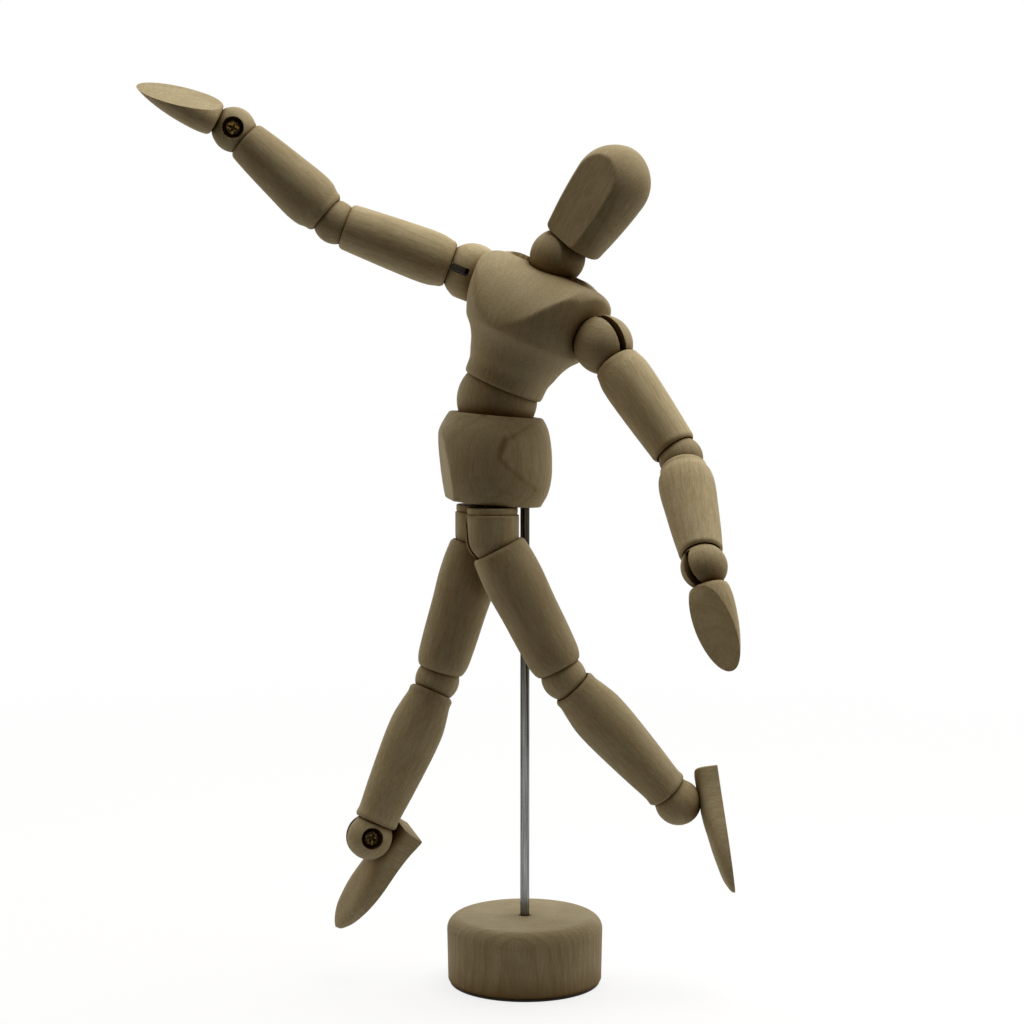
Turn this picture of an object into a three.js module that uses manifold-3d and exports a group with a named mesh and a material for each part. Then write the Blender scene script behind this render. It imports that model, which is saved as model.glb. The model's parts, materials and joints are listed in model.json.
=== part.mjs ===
// Wooden artist mannequin walking on a turned stand. Millimetres, +Z up.
// Origin: centre of the stand's underside. The steel rod stands on the Z axis.
import * as THREE from "three";
import { mergeVertices } from "three/addons/utils/BufferGeometryUtils.js";
import Module from "manifold-3d";

// Clearances
const GAP = 0.3;
const RIM_WALL = 0.45;

// Reach of the blocks that cut the pieces, beyond any piece's own size
const CUTTER = 80;

// Stand
const BASE_RADIUS = 29.5;
const BASE_HEIGHT = 25.5;
const BASE_EDGE_RADIUS = 5;
const BASE_TAPER = 0.4;
const PAD_RADIUS = 28.4;
const PAD_THICKNESS = 1;
const ROD_RADIUS = 1.75;
const ROD_BOTTOM = 5.3;

// Pelvis
const PELVIS_CENTRE = [-11.75, -3, 199.3];
const PELVIS_RADIUS = 21.8;
const PELVIS_HALF_UP = 16.4;
const PELVIS_HALF_DOWN = 16.6;
const PELVIS_FACE_SLOPE = 5;
const PELVIS_FLAT_OFFSET = 18.7;
const PELVIS_FLAT_TILT = 8;
const ROD_IN_PELVIS = 14.3;
const ROD_TOP = PELVIS_CENTRE[2] - PELVIS_HALF_DOWN + ROD_IN_PELVIS;

// Torso, measured from the centre of the waist ball
const WAIST_CENTRE = [-10.43, -3, 221.03];
const TORSO_LENGTH = 57.4;
const TORSO_WAIST_PLANE = 5.5;
const TORSO_TOP_PLANE = 4.1;
const TORSO_RIB_HEIGHT = 25.4;
const TORSO_RIB_RADIUS = 23;
const TORSO_CHEST_RADIUS = 26.3;
const TORSO_SIDE_OFFSET = 24;
const CHEST_DEPTH = 23.5;
const CHEST_ARC_RADIUS = 21.5;
const CHEST_ARC_START = 27;
const LEFT_SHOULDER = [32.6, 35.2];
const RIGHT_SHOULDER = [-32, 38.8];

// Head, measured from the centre of the neck ball
const HEAD_CHIN_PLANE = 7.3;
const HEAD_TOP = 48.4;
const HEAD_RADIUS = 13.95;
const HEAD_SIDE_SHIFT = 1.6;
const FACE_OFFSET = 8.3;
const FACE_SLOPE = 0.09;

// Balls
const WAIST_BALL_RADIUS = 15;
const NECK_BALL_RADIUS = 10.3;
const SHOULDER_BALL_RADIUS = 11.3;
const ELBOW_BALL_RADIUS = 8.3;
const WRIST_BALL_RADIUS = 8.45;
const HIP_BALL_RADIUS = 9.8;
const KNEE_BALL_RADIUS = 8.4;
const ANKLE_BALL_RADIUS = 8.7;

// Limb lengths, ball centre to ball centre
const UPPER_ARM_LENGTH = 54.8;
const FOREARM_LENGTH = 50.9;
const THIGH_LENGTH = 58.1;
const SHIN_LENGTH = 64.1;
const LEFT_ARM_SHARE = 0.955;
const HAND_REACH = 41.8;
const HAND_RIM = 7.3;

// Limb radii at their thickest
const UPPER_ARM_RADIUS = 10.1;
const FOREARM_RADIUS = 10.4;
const THIGH_RADIUS = 11.15;
const SHIN_RADIUS = 10.3;
const HAND_WIDTH = 17.8;
const HAND_THICKNESS = 14.2;

// Rim planes, from the ball centre
const SHOULDER_RIM = 8.8;
const UPPER_ARM_ELBOW_RIM = 4.2;
const FOREARM_ELBOW_RIM = 4.5;
const WRIST_RIM = 5.6;
const THIGH_HIP_RIM = 4.5;
const THIGH_KNEE_RIM = 3.9;
const SHIN_KNEE_RIM = 4.8;
const ANKLE_RIM = 5.6;

// Foot
const FOOT_LENGTH = 47.5;
const FOOT_WIDTH = 16.6;
const FOOT_THICKNESS = 8.8;
const FOOT_HEEL_LENGTH = 10.3;
const FOOT_TOP = 7.4;
const FOOT_SHANK_COVER = 2.2;

// Metalwork
const SLOT_HALF = 1.4;
const TONGUE_HALF = 1.1;
const TONGUE_BAR_HALF = 1.8;
const EYE_RADIUS = 3.3;
const SCREW_RADIUS = 1.5;
const SCREW_HEAD_RADIUS = 3;
const SCREW_HEAD_HEIGHT = 1.6;
const COUNTERBORE_RADIUS = 4;
const COUNTERBORE_DEPTH = 3.9;
const DOWEL_RADIUS = 3;
const LINK_ROD_RADIUS = 1.4;
const LINK_PIN_RADIUS = 1.2;
const LINK_PIN_HALF = 5;
const FORK_INNER = 1.8;
const FORK_OUTER = 3;
const FORK_EYE_RADIUS = 2.6;
const LINK_BEND = 27;
const WAIST_BEND = 36;
const NECK_BEND = 30;

// Directions in the walking pose
const HIP_AXIS = [0, 0, -1];
const TORSO_AXIS = [0.39, -0.07, 0.918];
const TORSO_LEFT = [0.78, -0.527, -0.33];
const PELVIS_FRONT = [-0.985, -0.174, 0];
const HEAD_AXIS = [0.556, -0.225, 0.8];
const HEAD_FRONT = [-0.471, -0.819, 0.328];
const LEFT_HIP = [-12.05, -13.93, 170.4];
const RIGHT_HIP = [-16.6, 8.43, 170];
const LEFT_THIGH = [0.454, -0.03, -0.89];
const LEFT_SHIN = [0.668, 0.068, -0.741];
const RIGHT_THIGH = [-0.287, -0.02, -0.957];
const RIGHT_SHIN = [-0.395, -0.2, -0.896];
const LEFT_UPPER_ARM = [0.512, -0.385, -0.768];
const LEFT_FOREARM = [0.116, -0.674, -0.73];
const LEFT_HAND = [0.165, -0.4, -0.9];
const RIGHT_UPPER_ARM = [-0.937, -0.03, 0.348];
const RIGHT_FOREARM = [-0.739, -0.03, 0.673];
const RIGHT_HAND = [-0.852, -0.221, 0.474];
const LEFT_FOOT_DOWN = [0.99, -0.02, 0.125];
const LEFT_FOOT_TOE = [0.1, -0.53, -0.84];
const RIGHT_FOOT_DOWN = [0.637, 0.57, -0.517];
const RIGHT_FOOT_TOE = [-0.63, 0, -0.777];
const LEFT_PALM = [-0.72, -0.48, 0.5];
const RIGHT_PALM = [0.5, -0.429, 0.752];
const PALM_SLOPE = 0.325;

// Screw directions, from the slot towards the screw head
const LEFT_SHOULDER_SCREW = [0.62, 0.68, 0.39];
const RIGHT_SHOULDER_SCREW = [-0.352, 0.063, -0.933];
const LEFT_WRIST_SCREW = [-0.547, 0.686, -0.475];
const RIGHT_WRIST_SCREW = [0.065, -0.997, 0.027];
const LEFT_HIP_SCREW = [-0.37, 0.93, 0];
const RIGHT_HIP_SCREW = [0.1, -0.99, 0];
const LEFT_ANKLE_SCREW = [0.024, 0.983, -0.18];
const RIGHT_ANKLE_SCREW = [0.217, -0.97, 0.087];

// Facets
const LIMB_SIDES = 12;
const BALL_SIDES = 12;
const CUP_SIDES = 16;
const BODY_SIDES = 24;
const PIN_SIDES = 8;
const DOWEL_SIDES = 10;

const wasm = await Module();
wasm.setup();

const wood = new THREE.MeshStandardMaterial({ color: 0xc8ac80, roughness: 0.7 });
const steel = new THREE.MeshStandardMaterial({
  color: 0x9a9a98,
  roughness: 0.35,
  metalness: 1,
});
const brass = new THREE.MeshStandardMaterial({
  color: 0xb08d57,
  roughness: 0.4,
  metalness: 1,
});
const felt = new THREE.MeshStandardMaterial({ color: 0x2c2620, roughness: 0.95 });

function vector(values) {
  return new THREE.Vector3(values[0], values[1], values[2]);
}

function unit(values) {
  return vector(values).normalize();
}

function across(values, axis) {
  const direction = vector(values);
  return direction.addScaledVector(axis, -direction.dot(axis)).normalize();
}

// A closed three.js surface as a solid for joins and cuts
function solidOf(geometry) {
  const bare = geometry.clone();
  bare.deleteAttribute("normal");
  bare.deleteAttribute("uv");
  const merged = mergeVertices(bare, 1e-4);
  const source = merged.index.array;
  const corners = [];
  for (let i = 0; i < source.length; i += 3) {
    const [a, b, c] = [source[i], source[i + 1], source[i + 2]];
    if (a !== b && b !== c && c !== a) corners.push(a, b, c);
  }
  const build = (indices) =>
    new wasm.Manifold(
      new wasm.Mesh({
        numProp: 3,
        vertProperties: new Float32Array(merged.attributes.position.array),
        triVerts: new Uint32Array(indices),
      }),
    );
  const first = build(corners);
  if (first.volume() > 0) return first;
  for (let i = 0; i < corners.length; i += 3) {
    [corners[i + 1], corners[i + 2]] = [corners[i + 2], corners[i + 1]];
  }
  return build(corners);
}

// Turned shape about Z from [height, radius] pairs
function turned(profile, sides, matrix) {
  const points = [new THREE.Vector2(0, profile[0][0])];
  for (const [height, radius] of profile) points.push(new THREE.Vector2(radius, height));
  points.push(new THREE.Vector2(0, profile[profile.length - 1][0]));
  const geometry = new THREE.LatheGeometry(points, Math.round(sides));
  geometry.rotateX(Math.PI / 2);
  if (matrix) geometry.applyMatrix4(matrix);
  return solidOf(geometry);
}

function sphere(radius, sides, matrix) {
  const rings = Math.round(sides / 2);
  const geometry = new THREE.SphereGeometry(radius, Math.round(sides), rings);
  geometry.rotateX(Math.PI / 2);
  if (matrix) geometry.applyMatrix4(matrix);
  return solidOf(geometry);
}

function box(low, high, matrix) {
  const size = vector(high).sub(vector(low));
  const geometry = new THREE.BoxGeometry(size.x, size.y, size.z);
  geometry.translate((low[0] + high[0]) / 2, (low[1] + high[1]) / 2, (low[2] + high[2]) / 2);
  if (matrix) geometry.applyMatrix4(matrix);
  return solidOf(geometry);
}

function pin(radius, low, high, sides, matrix) {
  return turned([[low, radius], [high, radius]], sides, matrix);
}

// Outline in the YZ plane, carried from low to high along X
function slab(outline, low, high, matrix) {
  const shape = new THREE.Shape(outline.map(([y, z]) => new THREE.Vector2(y, z)));
  const geometry = new THREE.ExtrudeGeometry(shape, { depth: high - low, bevelEnabled: false });
  const basis = new THREE.Matrix4().makeBasis(
    new THREE.Vector3(0, 1, 0),
    new THREE.Vector3(0, 0, 1),
    new THREE.Vector3(1, 0, 0),
  );
  geometry.translate(0, 0, low);
  geometry.applyMatrix4(basis);
  if (matrix) geometry.applyMatrix4(matrix);
  return solidOf(geometry);
}

// Half space beyond a plane, as a large block: normal is the direction cut away
function beyond(point, normal, size) {
  const axis = normal.clone().normalize();
  const side = Math.abs(axis.z) < 0.9 ? new THREE.Vector3(0, 0, 1) : new THREE.Vector3(1, 0, 0);
  const first = new THREE.Vector3().crossVectors(side, axis).normalize();
  const second = new THREE.Vector3().crossVectors(axis, first);
  const matrix = new THREE.Matrix4().makeBasis(first, second, axis).setPosition(point);
  return box([-size, -size, 0], [size, size, size], matrix);
}

function lifted(height) {
  return new THREE.Matrix4().makeTranslation(0, 0, height);
}

// Turns Z onto X, for pins that run across a joint
function crosswise() {
  return new THREE.Matrix4().makeRotationY(Math.PI / 2);
}

// Matrix, in a frame of given axes, of a tool frame given in the same outer axes
function within(frame, centre, axisX, axisZ) {
  const z = axisZ.clone().normalize();
  const x = axisX.clone().addScaledVector(z, -axisX.dot(z)).normalize();
  const y = new THREE.Vector3().crossVectors(z, x);
  const tool = new THREE.Matrix4().makeBasis(x, y, z).setPosition(centre);
  frame.updateWorldMatrix(true, false);
  return frame.matrixWorld.clone().invert().multiply(tool);
}

function group(parent, name, centre, axisZ, axisX) {
  const made = new THREE.Group();
  made.name = name;
  const local = within(parent, centre, axisX, axisZ);
  local.decompose(made.position, made.quaternion, made.scale);
  parent.add(made);
  return made;
}

function add(parent, name, solid, material) {
  const result = solid.getMesh();
  const geometry = new THREE.BufferGeometry();
  const positions = new Float32Array(result.numVert * 3);
  for (let i = 0; i < result.numVert; i++) {
    const start = i * result.numProp;
    positions.set(result.vertProperties.subarray(start, start + 3), i * 3);
  }
  geometry.setAttribute("position", new THREE.BufferAttribute(positions, 3));
  geometry.setIndex(new THREE.BufferAttribute(new Uint32Array(result.triVerts), 1));
  geometry.computeVertexNormals();
  const mesh = new THREE.Mesh(geometry, material);
  mesh.name = name;
  parent.add(mesh);
  return mesh;
}

function rimRadius(ballRadius, plane) {
  const cup = ballRadius + GAP;
  return Math.sqrt(Math.max(cup * cup - plane * plane, 1)) + RIM_WALL;
}

const CUP = 1.5 * GAP;

// Sector swept by a rod that swings either way from +Z in the YZ plane
function fan(reach, half, degrees) {
  const angle = THREE.MathUtils.degToRad(degrees);
  const [s, c] = [Math.sin(angle), Math.cos(angle)];
  return [
    [-half * c, -half * s],
    [half * c, -half * s],
    [reach * s + half * c, reach * c - half * s],
    [0, reach + half],
    [-reach * s - half * c, reach * c - half * s],
  ];
}

const root = new THREE.Group();
root.name = "artist_mannequin";

// Stand
const up = new THREE.Vector3(0, 0, 1);
const right = new THREE.Vector3(1, 0, 0);
const stand = group(root, "stand", new THREE.Vector3(), up, right);
const baseLow = PAD_THICKNESS + GAP;
const baseProfile = [[baseLow, BASE_RADIUS - BASE_TAPER - 0.4], [baseLow + 0.6, BASE_RADIUS - BASE_TAPER]];
for (let i = 0; i <= 5; i++) {
  const angle = (i / 5) * (Math.PI / 2);
  baseProfile.push([
    BASE_HEIGHT - BASE_EDGE_RADIUS + BASE_EDGE_RADIUS * Math.sin(angle),
    BASE_RADIUS - BASE_EDGE_RADIUS + BASE_EDGE_RADIUS * Math.cos(angle),
  ]);
}
add(
  stand,
  "base",
  turned(baseProfile, BODY_SIDES + 8).subtract(pin(ROD_RADIUS + GAP, ROD_BOTTOM - GAP, BASE_HEIGHT + 1, DOWEL_SIDES)),
  wood,
);
add(stand, "base_pad", pin(PAD_RADIUS, 0, PAD_THICKNESS, BODY_SIDES + 8), felt);
add(stand, "rod", pin(ROD_RADIUS, ROD_BOTTOM, ROD_TOP, DOWEL_SIDES), steel);

// Pelvis: a barrel cut by two sloping faces and one planed front
const pelvis = group(root, "pelvis_frame", vector(PELVIS_CENTRE), up, right);
const waistCentre = vector(WAIST_CENTRE);
const pelvisCentre = vector(PELVIS_CENTRE);
const pelvisBarrel = [
  [-22, 0.75],
  [-17.5, 0.83],
  [-14, 0.92],
  [-10, 0.975],
  [-6, 1],
  [-1, 1.003],
  [3, 0.995],
  [7, 0.972],
  [11, 0.93],
  [14.5, 0.85],
  [17.2, 0.77],
  [20, 0.66],
].map(([height, share]) => [height, share * PELVIS_RADIUS]);
const slope = THREE.MathUtils.degToRad(PELVIS_FACE_SLOPE);
const faceNormal = new THREE.Vector3(Math.sin(slope), 0, Math.cos(slope));
const flatTilt = THREE.MathUtils.degToRad(PELVIS_FLAT_TILT);
const flatNormal = unit(PELVIS_FRONT)
  .multiplyScalar(Math.cos(flatTilt))
  .addScaledVector(up, -Math.sin(flatTilt));
const hips = { left: vector(LEFT_HIP), right: vector(RIGHT_HIP) };
const hipCollarTop = 11.4;
const hipPostLength = 12;
let pelvisSolid = turned(pelvisBarrel, BODY_SIDES)
  .subtract(beyond(new THREE.Vector3(0, 0, PELVIS_HALF_UP), faceNormal, CUTTER))
  .subtract(beyond(new THREE.Vector3(0, 0, -PELVIS_HALF_DOWN), faceNormal.clone().negate(), CUTTER))
  .subtract(beyond(flatNormal.clone().multiplyScalar(PELVIS_FLAT_OFFSET), flatNormal, CUTTER));
pelvisSolid = pelvisSolid.subtract(
  sphere(WAIST_BALL_RADIUS + CUP, CUP_SIDES + 4, within(pelvis, waistCentre, right, up)),
);
const waistDowelLow = WAIST_CENTRE[2] - WAIST_BALL_RADIUS - 9;
pelvisSolid = pelvisSolid.subtract(
  pin(
    DOWEL_RADIUS + GAP,
    waistDowelLow - GAP - WAIST_CENTRE[2],
    0,
    DOWEL_SIDES,
    within(pelvis, waistCentre, right, up),
  ),
);
pelvisSolid = pelvisSolid.subtract(
  pin(
    ROD_RADIUS + GAP,
    ROD_TOP - 2 * PELVIS_RADIUS,
    ROD_TOP + GAP,
    DOWEL_SIDES,
    within(pelvis, new THREE.Vector3(), right, up),
  ),
);
for (const centre of [hips.left, hips.right]) {
  pelvisSolid = pelvisSolid.subtract(
    pin(
      DOWEL_RADIUS + GAP,
      0,
      hipCollarTop + hipPostLength + GAP,
      DOWEL_SIDES,
      within(pelvis, centre, right, up),
    ),
  );
}
add(pelvis, "pelvis", pelvisSolid, wood);

// A joint ball with a hidden slot towards the next piece and a dowel towards the last one
function bodyJoint(parent, name, centre, dowelAxis, nextAxis, radius, dowelLength, bend) {
  const hinge = new THREE.Vector3().crossVectors(dowelAxis, nextAxis).normalize();
  const frame = group(parent, name + "_ball_frame", centre, dowelAxis, hinge);
  const slotReach = radius + 2;
  const pinHalf = radius * 0.55;
  const solid = sphere(radius, BALL_SIDES + 4)
    .add(pin(DOWEL_RADIUS, -radius - dowelLength, -radius * 0.7, DOWEL_SIDES))
    .subtract(slab(fan(slotReach, TONGUE_BAR_HALF + GAP, bend), -SLOT_HALF, SLOT_HALF))
    .subtract(pin(EYE_RADIUS + GAP, -SLOT_HALF, SLOT_HALF, DOWEL_SIDES, crosswise()))
    .subtract(pin(SCREW_RADIUS + GAP, -pinHalf - GAP, pinHalf + GAP, PIN_SIDES, crosswise()));
  add(frame, name + "_ball", solid, wood);
  add(frame, name + "_pin", pin(SCREW_RADIUS, -pinHalf, pinHalf, PIN_SIDES, crosswise()), steel);
  const swing = group(frame, name + "_tongue_frame", centre, nextAxis, hinge);
  add(swing, name + "_tongue", tongueSolid(radius, radius + 9), steel);
  return swing;
}

// Flat eye about the X axis with a round shank along +Z
function tongueSolid(radius, reach) {
  const bar = box(
    [-TONGUE_HALF, -TONGUE_BAR_HALF, 0],
    [TONGUE_HALF, TONGUE_BAR_HALF, radius - 1.5],
  );
  return pin(EYE_RADIUS, -TONGUE_HALF, TONGUE_HALF, DOWEL_SIDES, crosswise())
    .add(bar)
    .add(pin(TONGUE_HALF, radius - 3, reach, 10))
    .subtract(pin(SCREW_RADIUS + GAP, -3, 3, PIN_SIDES, crosswise()));
}

// Torso
const torsoAxis = unit(TORSO_AXIS);
const torsoLeft = across(TORSO_LEFT, torsoAxis);
const waist = bodyJoint(
  pelvis,
  "waist",
  waistCentre,
  up,
  torsoAxis,
  WAIST_BALL_RADIUS,
  9,
  WAIST_BEND,
);
const torso = group(waist, "torso_frame", waistCentre, torsoAxis, torsoLeft);
const torsoTop = TORSO_LENGTH - TORSO_TOP_PLANE;
const waistRim = rimRadius(WAIST_BALL_RADIUS, TORSO_WAIST_PLANE) + 0.6;
const torsoProfile = [
  [TORSO_WAIST_PLANE, waistRim - 0.7],
  [TORSO_WAIST_PLANE + 0.8, waistRim],
  [11, waistRim + 0.3],
  [14.5, waistRim + 1.5],
  [18.5, waistRim + 2.9],
  [22, waistRim + 4.9],
  [TORSO_RIB_HEIGHT - 0.8, TORSO_RIB_RADIUS - 0.5],
  [TORSO_RIB_HEIGHT, TORSO_RIB_RADIUS],
  [28, TORSO_RIB_RADIUS + 1.1],
  [32, TORSO_CHEST_RADIUS - 0.9],
  [38, TORSO_CHEST_RADIUS],
  [46, TORSO_CHEST_RADIUS],
  [48, TORSO_CHEST_RADIUS - 0.9],
  [50, TORSO_CHEST_RADIUS - 2.6],
  [51.7, TORSO_CHEST_RADIUS - 5.5],
  [torsoTop - 0.5, TORSO_CHEST_RADIUS - 9],
  [torsoTop, TORSO_CHEST_RADIUS - 11.5],
];
const chestFoot = CHEST_ARC_START - 3;
const chestOutline = [[-CUTTER, 0], [CUTTER, 0], [CUTTER, chestFoot], [CHEST_DEPTH, chestFoot]];
const chestArc = [];
for (let i = 0; i <= 9; i++) {
  const angle = (i / 9) * THREE.MathUtils.degToRad(78);
  chestArc.push([
    CHEST_DEPTH - CHEST_ARC_RADIUS + CHEST_ARC_RADIUS * Math.cos(angle),
    CHEST_ARC_START + CHEST_ARC_RADIUS * 1.15 * Math.sin(angle),
  ]);
}
chestOutline.push(...chestArc);
const chestPeak = chestArc[chestArc.length - 1];
chestOutline.push([chestPeak[0], CUTTER], [-chestPeak[0], CUTTER]);
for (let i = chestArc.length - 1; i >= 0; i--) chestOutline.push([-chestArc[i][0], chestArc[i][1]]);
chestOutline.push([-CHEST_DEPTH, chestFoot], [-CUTTER, chestFoot]);
const leftSocket = waistCentre
  .clone()
  .addScaledVector(torsoLeft, LEFT_SHOULDER[0])
  .addScaledVector(torsoAxis, LEFT_SHOULDER[1]);
const rightSocket = waistCentre
  .clone()
  .addScaledVector(torsoLeft, RIGHT_SHOULDER[0])
  .addScaledVector(torsoAxis, RIGHT_SHOULDER[1]);
const neckCentre = waistCentre.clone().addScaledVector(torsoAxis, TORSO_LENGTH);
const shoulderDowel = 9;
let torsoSolid = turned(torsoProfile, BODY_SIDES)
  .intersect(slab(chestOutline, -CUTTER, CUTTER))
  .subtract(box([TORSO_SIDE_OFFSET, -CUTTER, 0], [CUTTER, CUTTER, CUTTER]))
  .subtract(box([-CUTTER, -CUTTER, 0], [-TORSO_SIDE_OFFSET, CUTTER, CUTTER]))
  .subtract(sphere(WAIST_BALL_RADIUS + CUP, CUP_SIDES + 4))
  .subtract(pin(TONGUE_HALF + GAP, 0, WAIST_BALL_RADIUS + 9 + GAP, PIN_SIDES))
  .subtract(sphere(NECK_BALL_RADIUS + CUP, CUP_SIDES + 2, lifted(TORSO_LENGTH)))
  .subtract(
    pin(DOWEL_RADIUS + GAP, TORSO_LENGTH - NECK_BALL_RADIUS - 8 - GAP, TORSO_LENGTH, DOWEL_SIDES),
  );
for (const [socket, outward, share] of [
  [leftSocket, torsoLeft.clone(), LEFT_ARM_SHARE],
  [rightSocket, torsoLeft.clone().negate(), 1],
]) {
  const tool = within(torso, socket, torsoAxis, outward);
  torsoSolid = torsoSolid
    .subtract(sphere(SHOULDER_BALL_RADIUS * share + CUP, CUP_SIDES + 2, tool))
    .subtract(
      pin(
        DOWEL_RADIUS + GAP,
        -SHOULDER_BALL_RADIUS * share - shoulderDowel - GAP,
        0,
        DOWEL_SIDES,
        tool,
      ),
    );
}
add(torso, "torso", torsoSolid, wood);

// Head
const headAxis = unit(HEAD_AXIS);
const headFront = across(HEAD_FRONT, headAxis);
const headLeft = new THREE.Vector3().crossVectors(headAxis, headFront);
const neck = bodyJoint(
  torso,
  "neck",
  neckCentre,
  torsoAxis,
  headAxis,
  NECK_BALL_RADIUS,
  8,
  NECK_BEND,
);
const head = group(neck, "head_frame", neckCentre, headAxis, headLeft);
const chinRim = rimRadius(NECK_BALL_RADIUS, HEAD_CHIN_PLANE) + HEAD_SIDE_SHIFT;
const headProfile = [
  [HEAD_CHIN_PLANE, Math.max(chinRim, HEAD_RADIUS * 0.765)],
  [HEAD_CHIN_PLANE + 0.9, Math.max(chinRim + 0.3, HEAD_RADIUS * 0.81)],
  [12.5, HEAD_RADIUS * 0.865],
  [18, HEAD_RADIUS * 0.92],
  [24, HEAD_RADIUS * 0.965],
  [30, HEAD_RADIUS * 0.995],
  [35, HEAD_RADIUS],
  [39, HEAD_RADIUS * 0.93],
  [42.5, HEAD_RADIUS * 0.79],
  [45.3, HEAD_RADIUS * 0.59],
  [47.3, HEAD_RADIUS * 0.36],
  [HEAD_TOP, HEAD_RADIUS * 0.12],
];
const headShift = new THREE.Matrix4().makeTranslation(HEAD_SIDE_SHIFT, 0, 0);
const headSolid = turned(headProfile, BODY_SIDES - 4, headShift)
  .subtract(
    beyond(
      new THREE.Vector3(0, -FACE_OFFSET, HEAD_CHIN_PLANE),
      new THREE.Vector3(0, -1, -FACE_SLOPE),
      CUTTER,
    ),
  )
  .subtract(sphere(NECK_BALL_RADIUS + CUP, CUP_SIDES + 2))
  .subtract(pin(TONGUE_HALF + GAP, 0, NECK_BALL_RADIUS + 9 + GAP, PIN_SIDES));
add(head, "head", headSolid, wood);

// Slotted ball, screw and tongue; returns the tongue's frame
function slottedJoint(parent, name, spec) {
  const { centre, outward, nextAxis, screw, radius, dowelLength, slotDepth, shape } = spec;
  const hinge = across(screw, nextAxis);
  const ball = group(parent, name + "_ball_frame", centre, outward, hinge);
  const slotFrame = within(ball, centre, outward, hinge);
  const hole = within(ball, centre, nextAxis, hinge);
  const floor = radius - COUNTERBORE_DEPTH;
  const tip = radius * 0.72;
  const slot = box(
    [-slotDepth, -radius - 3, -SLOT_HALF],
    [radius + 3, radius + 3, SLOT_HALF],
    slotFrame,
  );
  const post = pin(DOWEL_RADIUS, -spec.dowelFrom - dowelLength, -spec.dowelFrom + 1.5, DOWEL_SIDES);
  const solid = (shape || sphere(radius, BALL_SIDES))
    .add(post)
    .subtract(slot)
    .subtract(pin(COUNTERBORE_RADIUS, floor, radius + 3, DOWEL_SIDES, hole))
    .subtract(pin(SCREW_RADIUS + GAP, -tip - GAP, floor + 1, PIN_SIDES, hole));
  add(ball, name + "_ball", solid, wood);
  const headLow = floor + GAP;
  const headHigh = headLow + SCREW_HEAD_HEIGHT;
  const screwSolid = turned(
    [
      [-tip, SCREW_RADIUS * 0.5],
      [-tip + 1, SCREW_RADIUS],
      [headLow, SCREW_RADIUS],
      [headLow, SCREW_HEAD_RADIUS],
      [headHigh - 0.6, SCREW_HEAD_RADIUS],
      [headHigh, SCREW_HEAD_RADIUS * 0.6],
    ],
    DOWEL_SIDES,
    hole,
  )
    .subtract(box([-0.4, -1.7, headHigh - 0.9], [0.4, 1.7, headHigh + 1], hole))
    .subtract(box([-1.7, -0.4, headHigh - 0.9], [1.7, 0.4, headHigh + 1], hole));
  add(ball, name + "_screw", screwSolid, brass);
  const swing = group(ball, name + "_tongue_frame", centre, nextAxis, hinge);
  add(swing, name + "_tongue", tongueSolid(radius, radius + spec.shank), steel);
  return swing;
}

// Turned limb between two balls, open for both balls and both links
function limbSolid(spec) {
  const { length, low, high, lowBall, highBall, table, lowBore, highBore } = spec;
  const lowRim = rimRadius(lowBall, low);
  const highRim = rimRadius(highBall, high);
  const span = length - low - high;
  const profile = [[low, lowRim], [low + 0.9, lowRim + 0.75]];
  for (const [share, radius] of table) profile.push([low + share * span, radius]);
  profile.push([length - high - 0.9, highRim + 0.65], [length - high, highRim]);
  return turned(profile, LIMB_SIDES)
    .subtract(sphere(lowBall + CUP, CUP_SIDES + 2))
    .subtract(sphere(highBall + CUP, CUP_SIDES, lifted(length)))
    .subtract(pin(lowBore[0] + GAP, 0, lowBore[1] + GAP, PIN_SIDES))
    .subtract(pin(highBore[0] + GAP, length - highBore[1] - GAP, length, PIN_SIDES));
}

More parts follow.
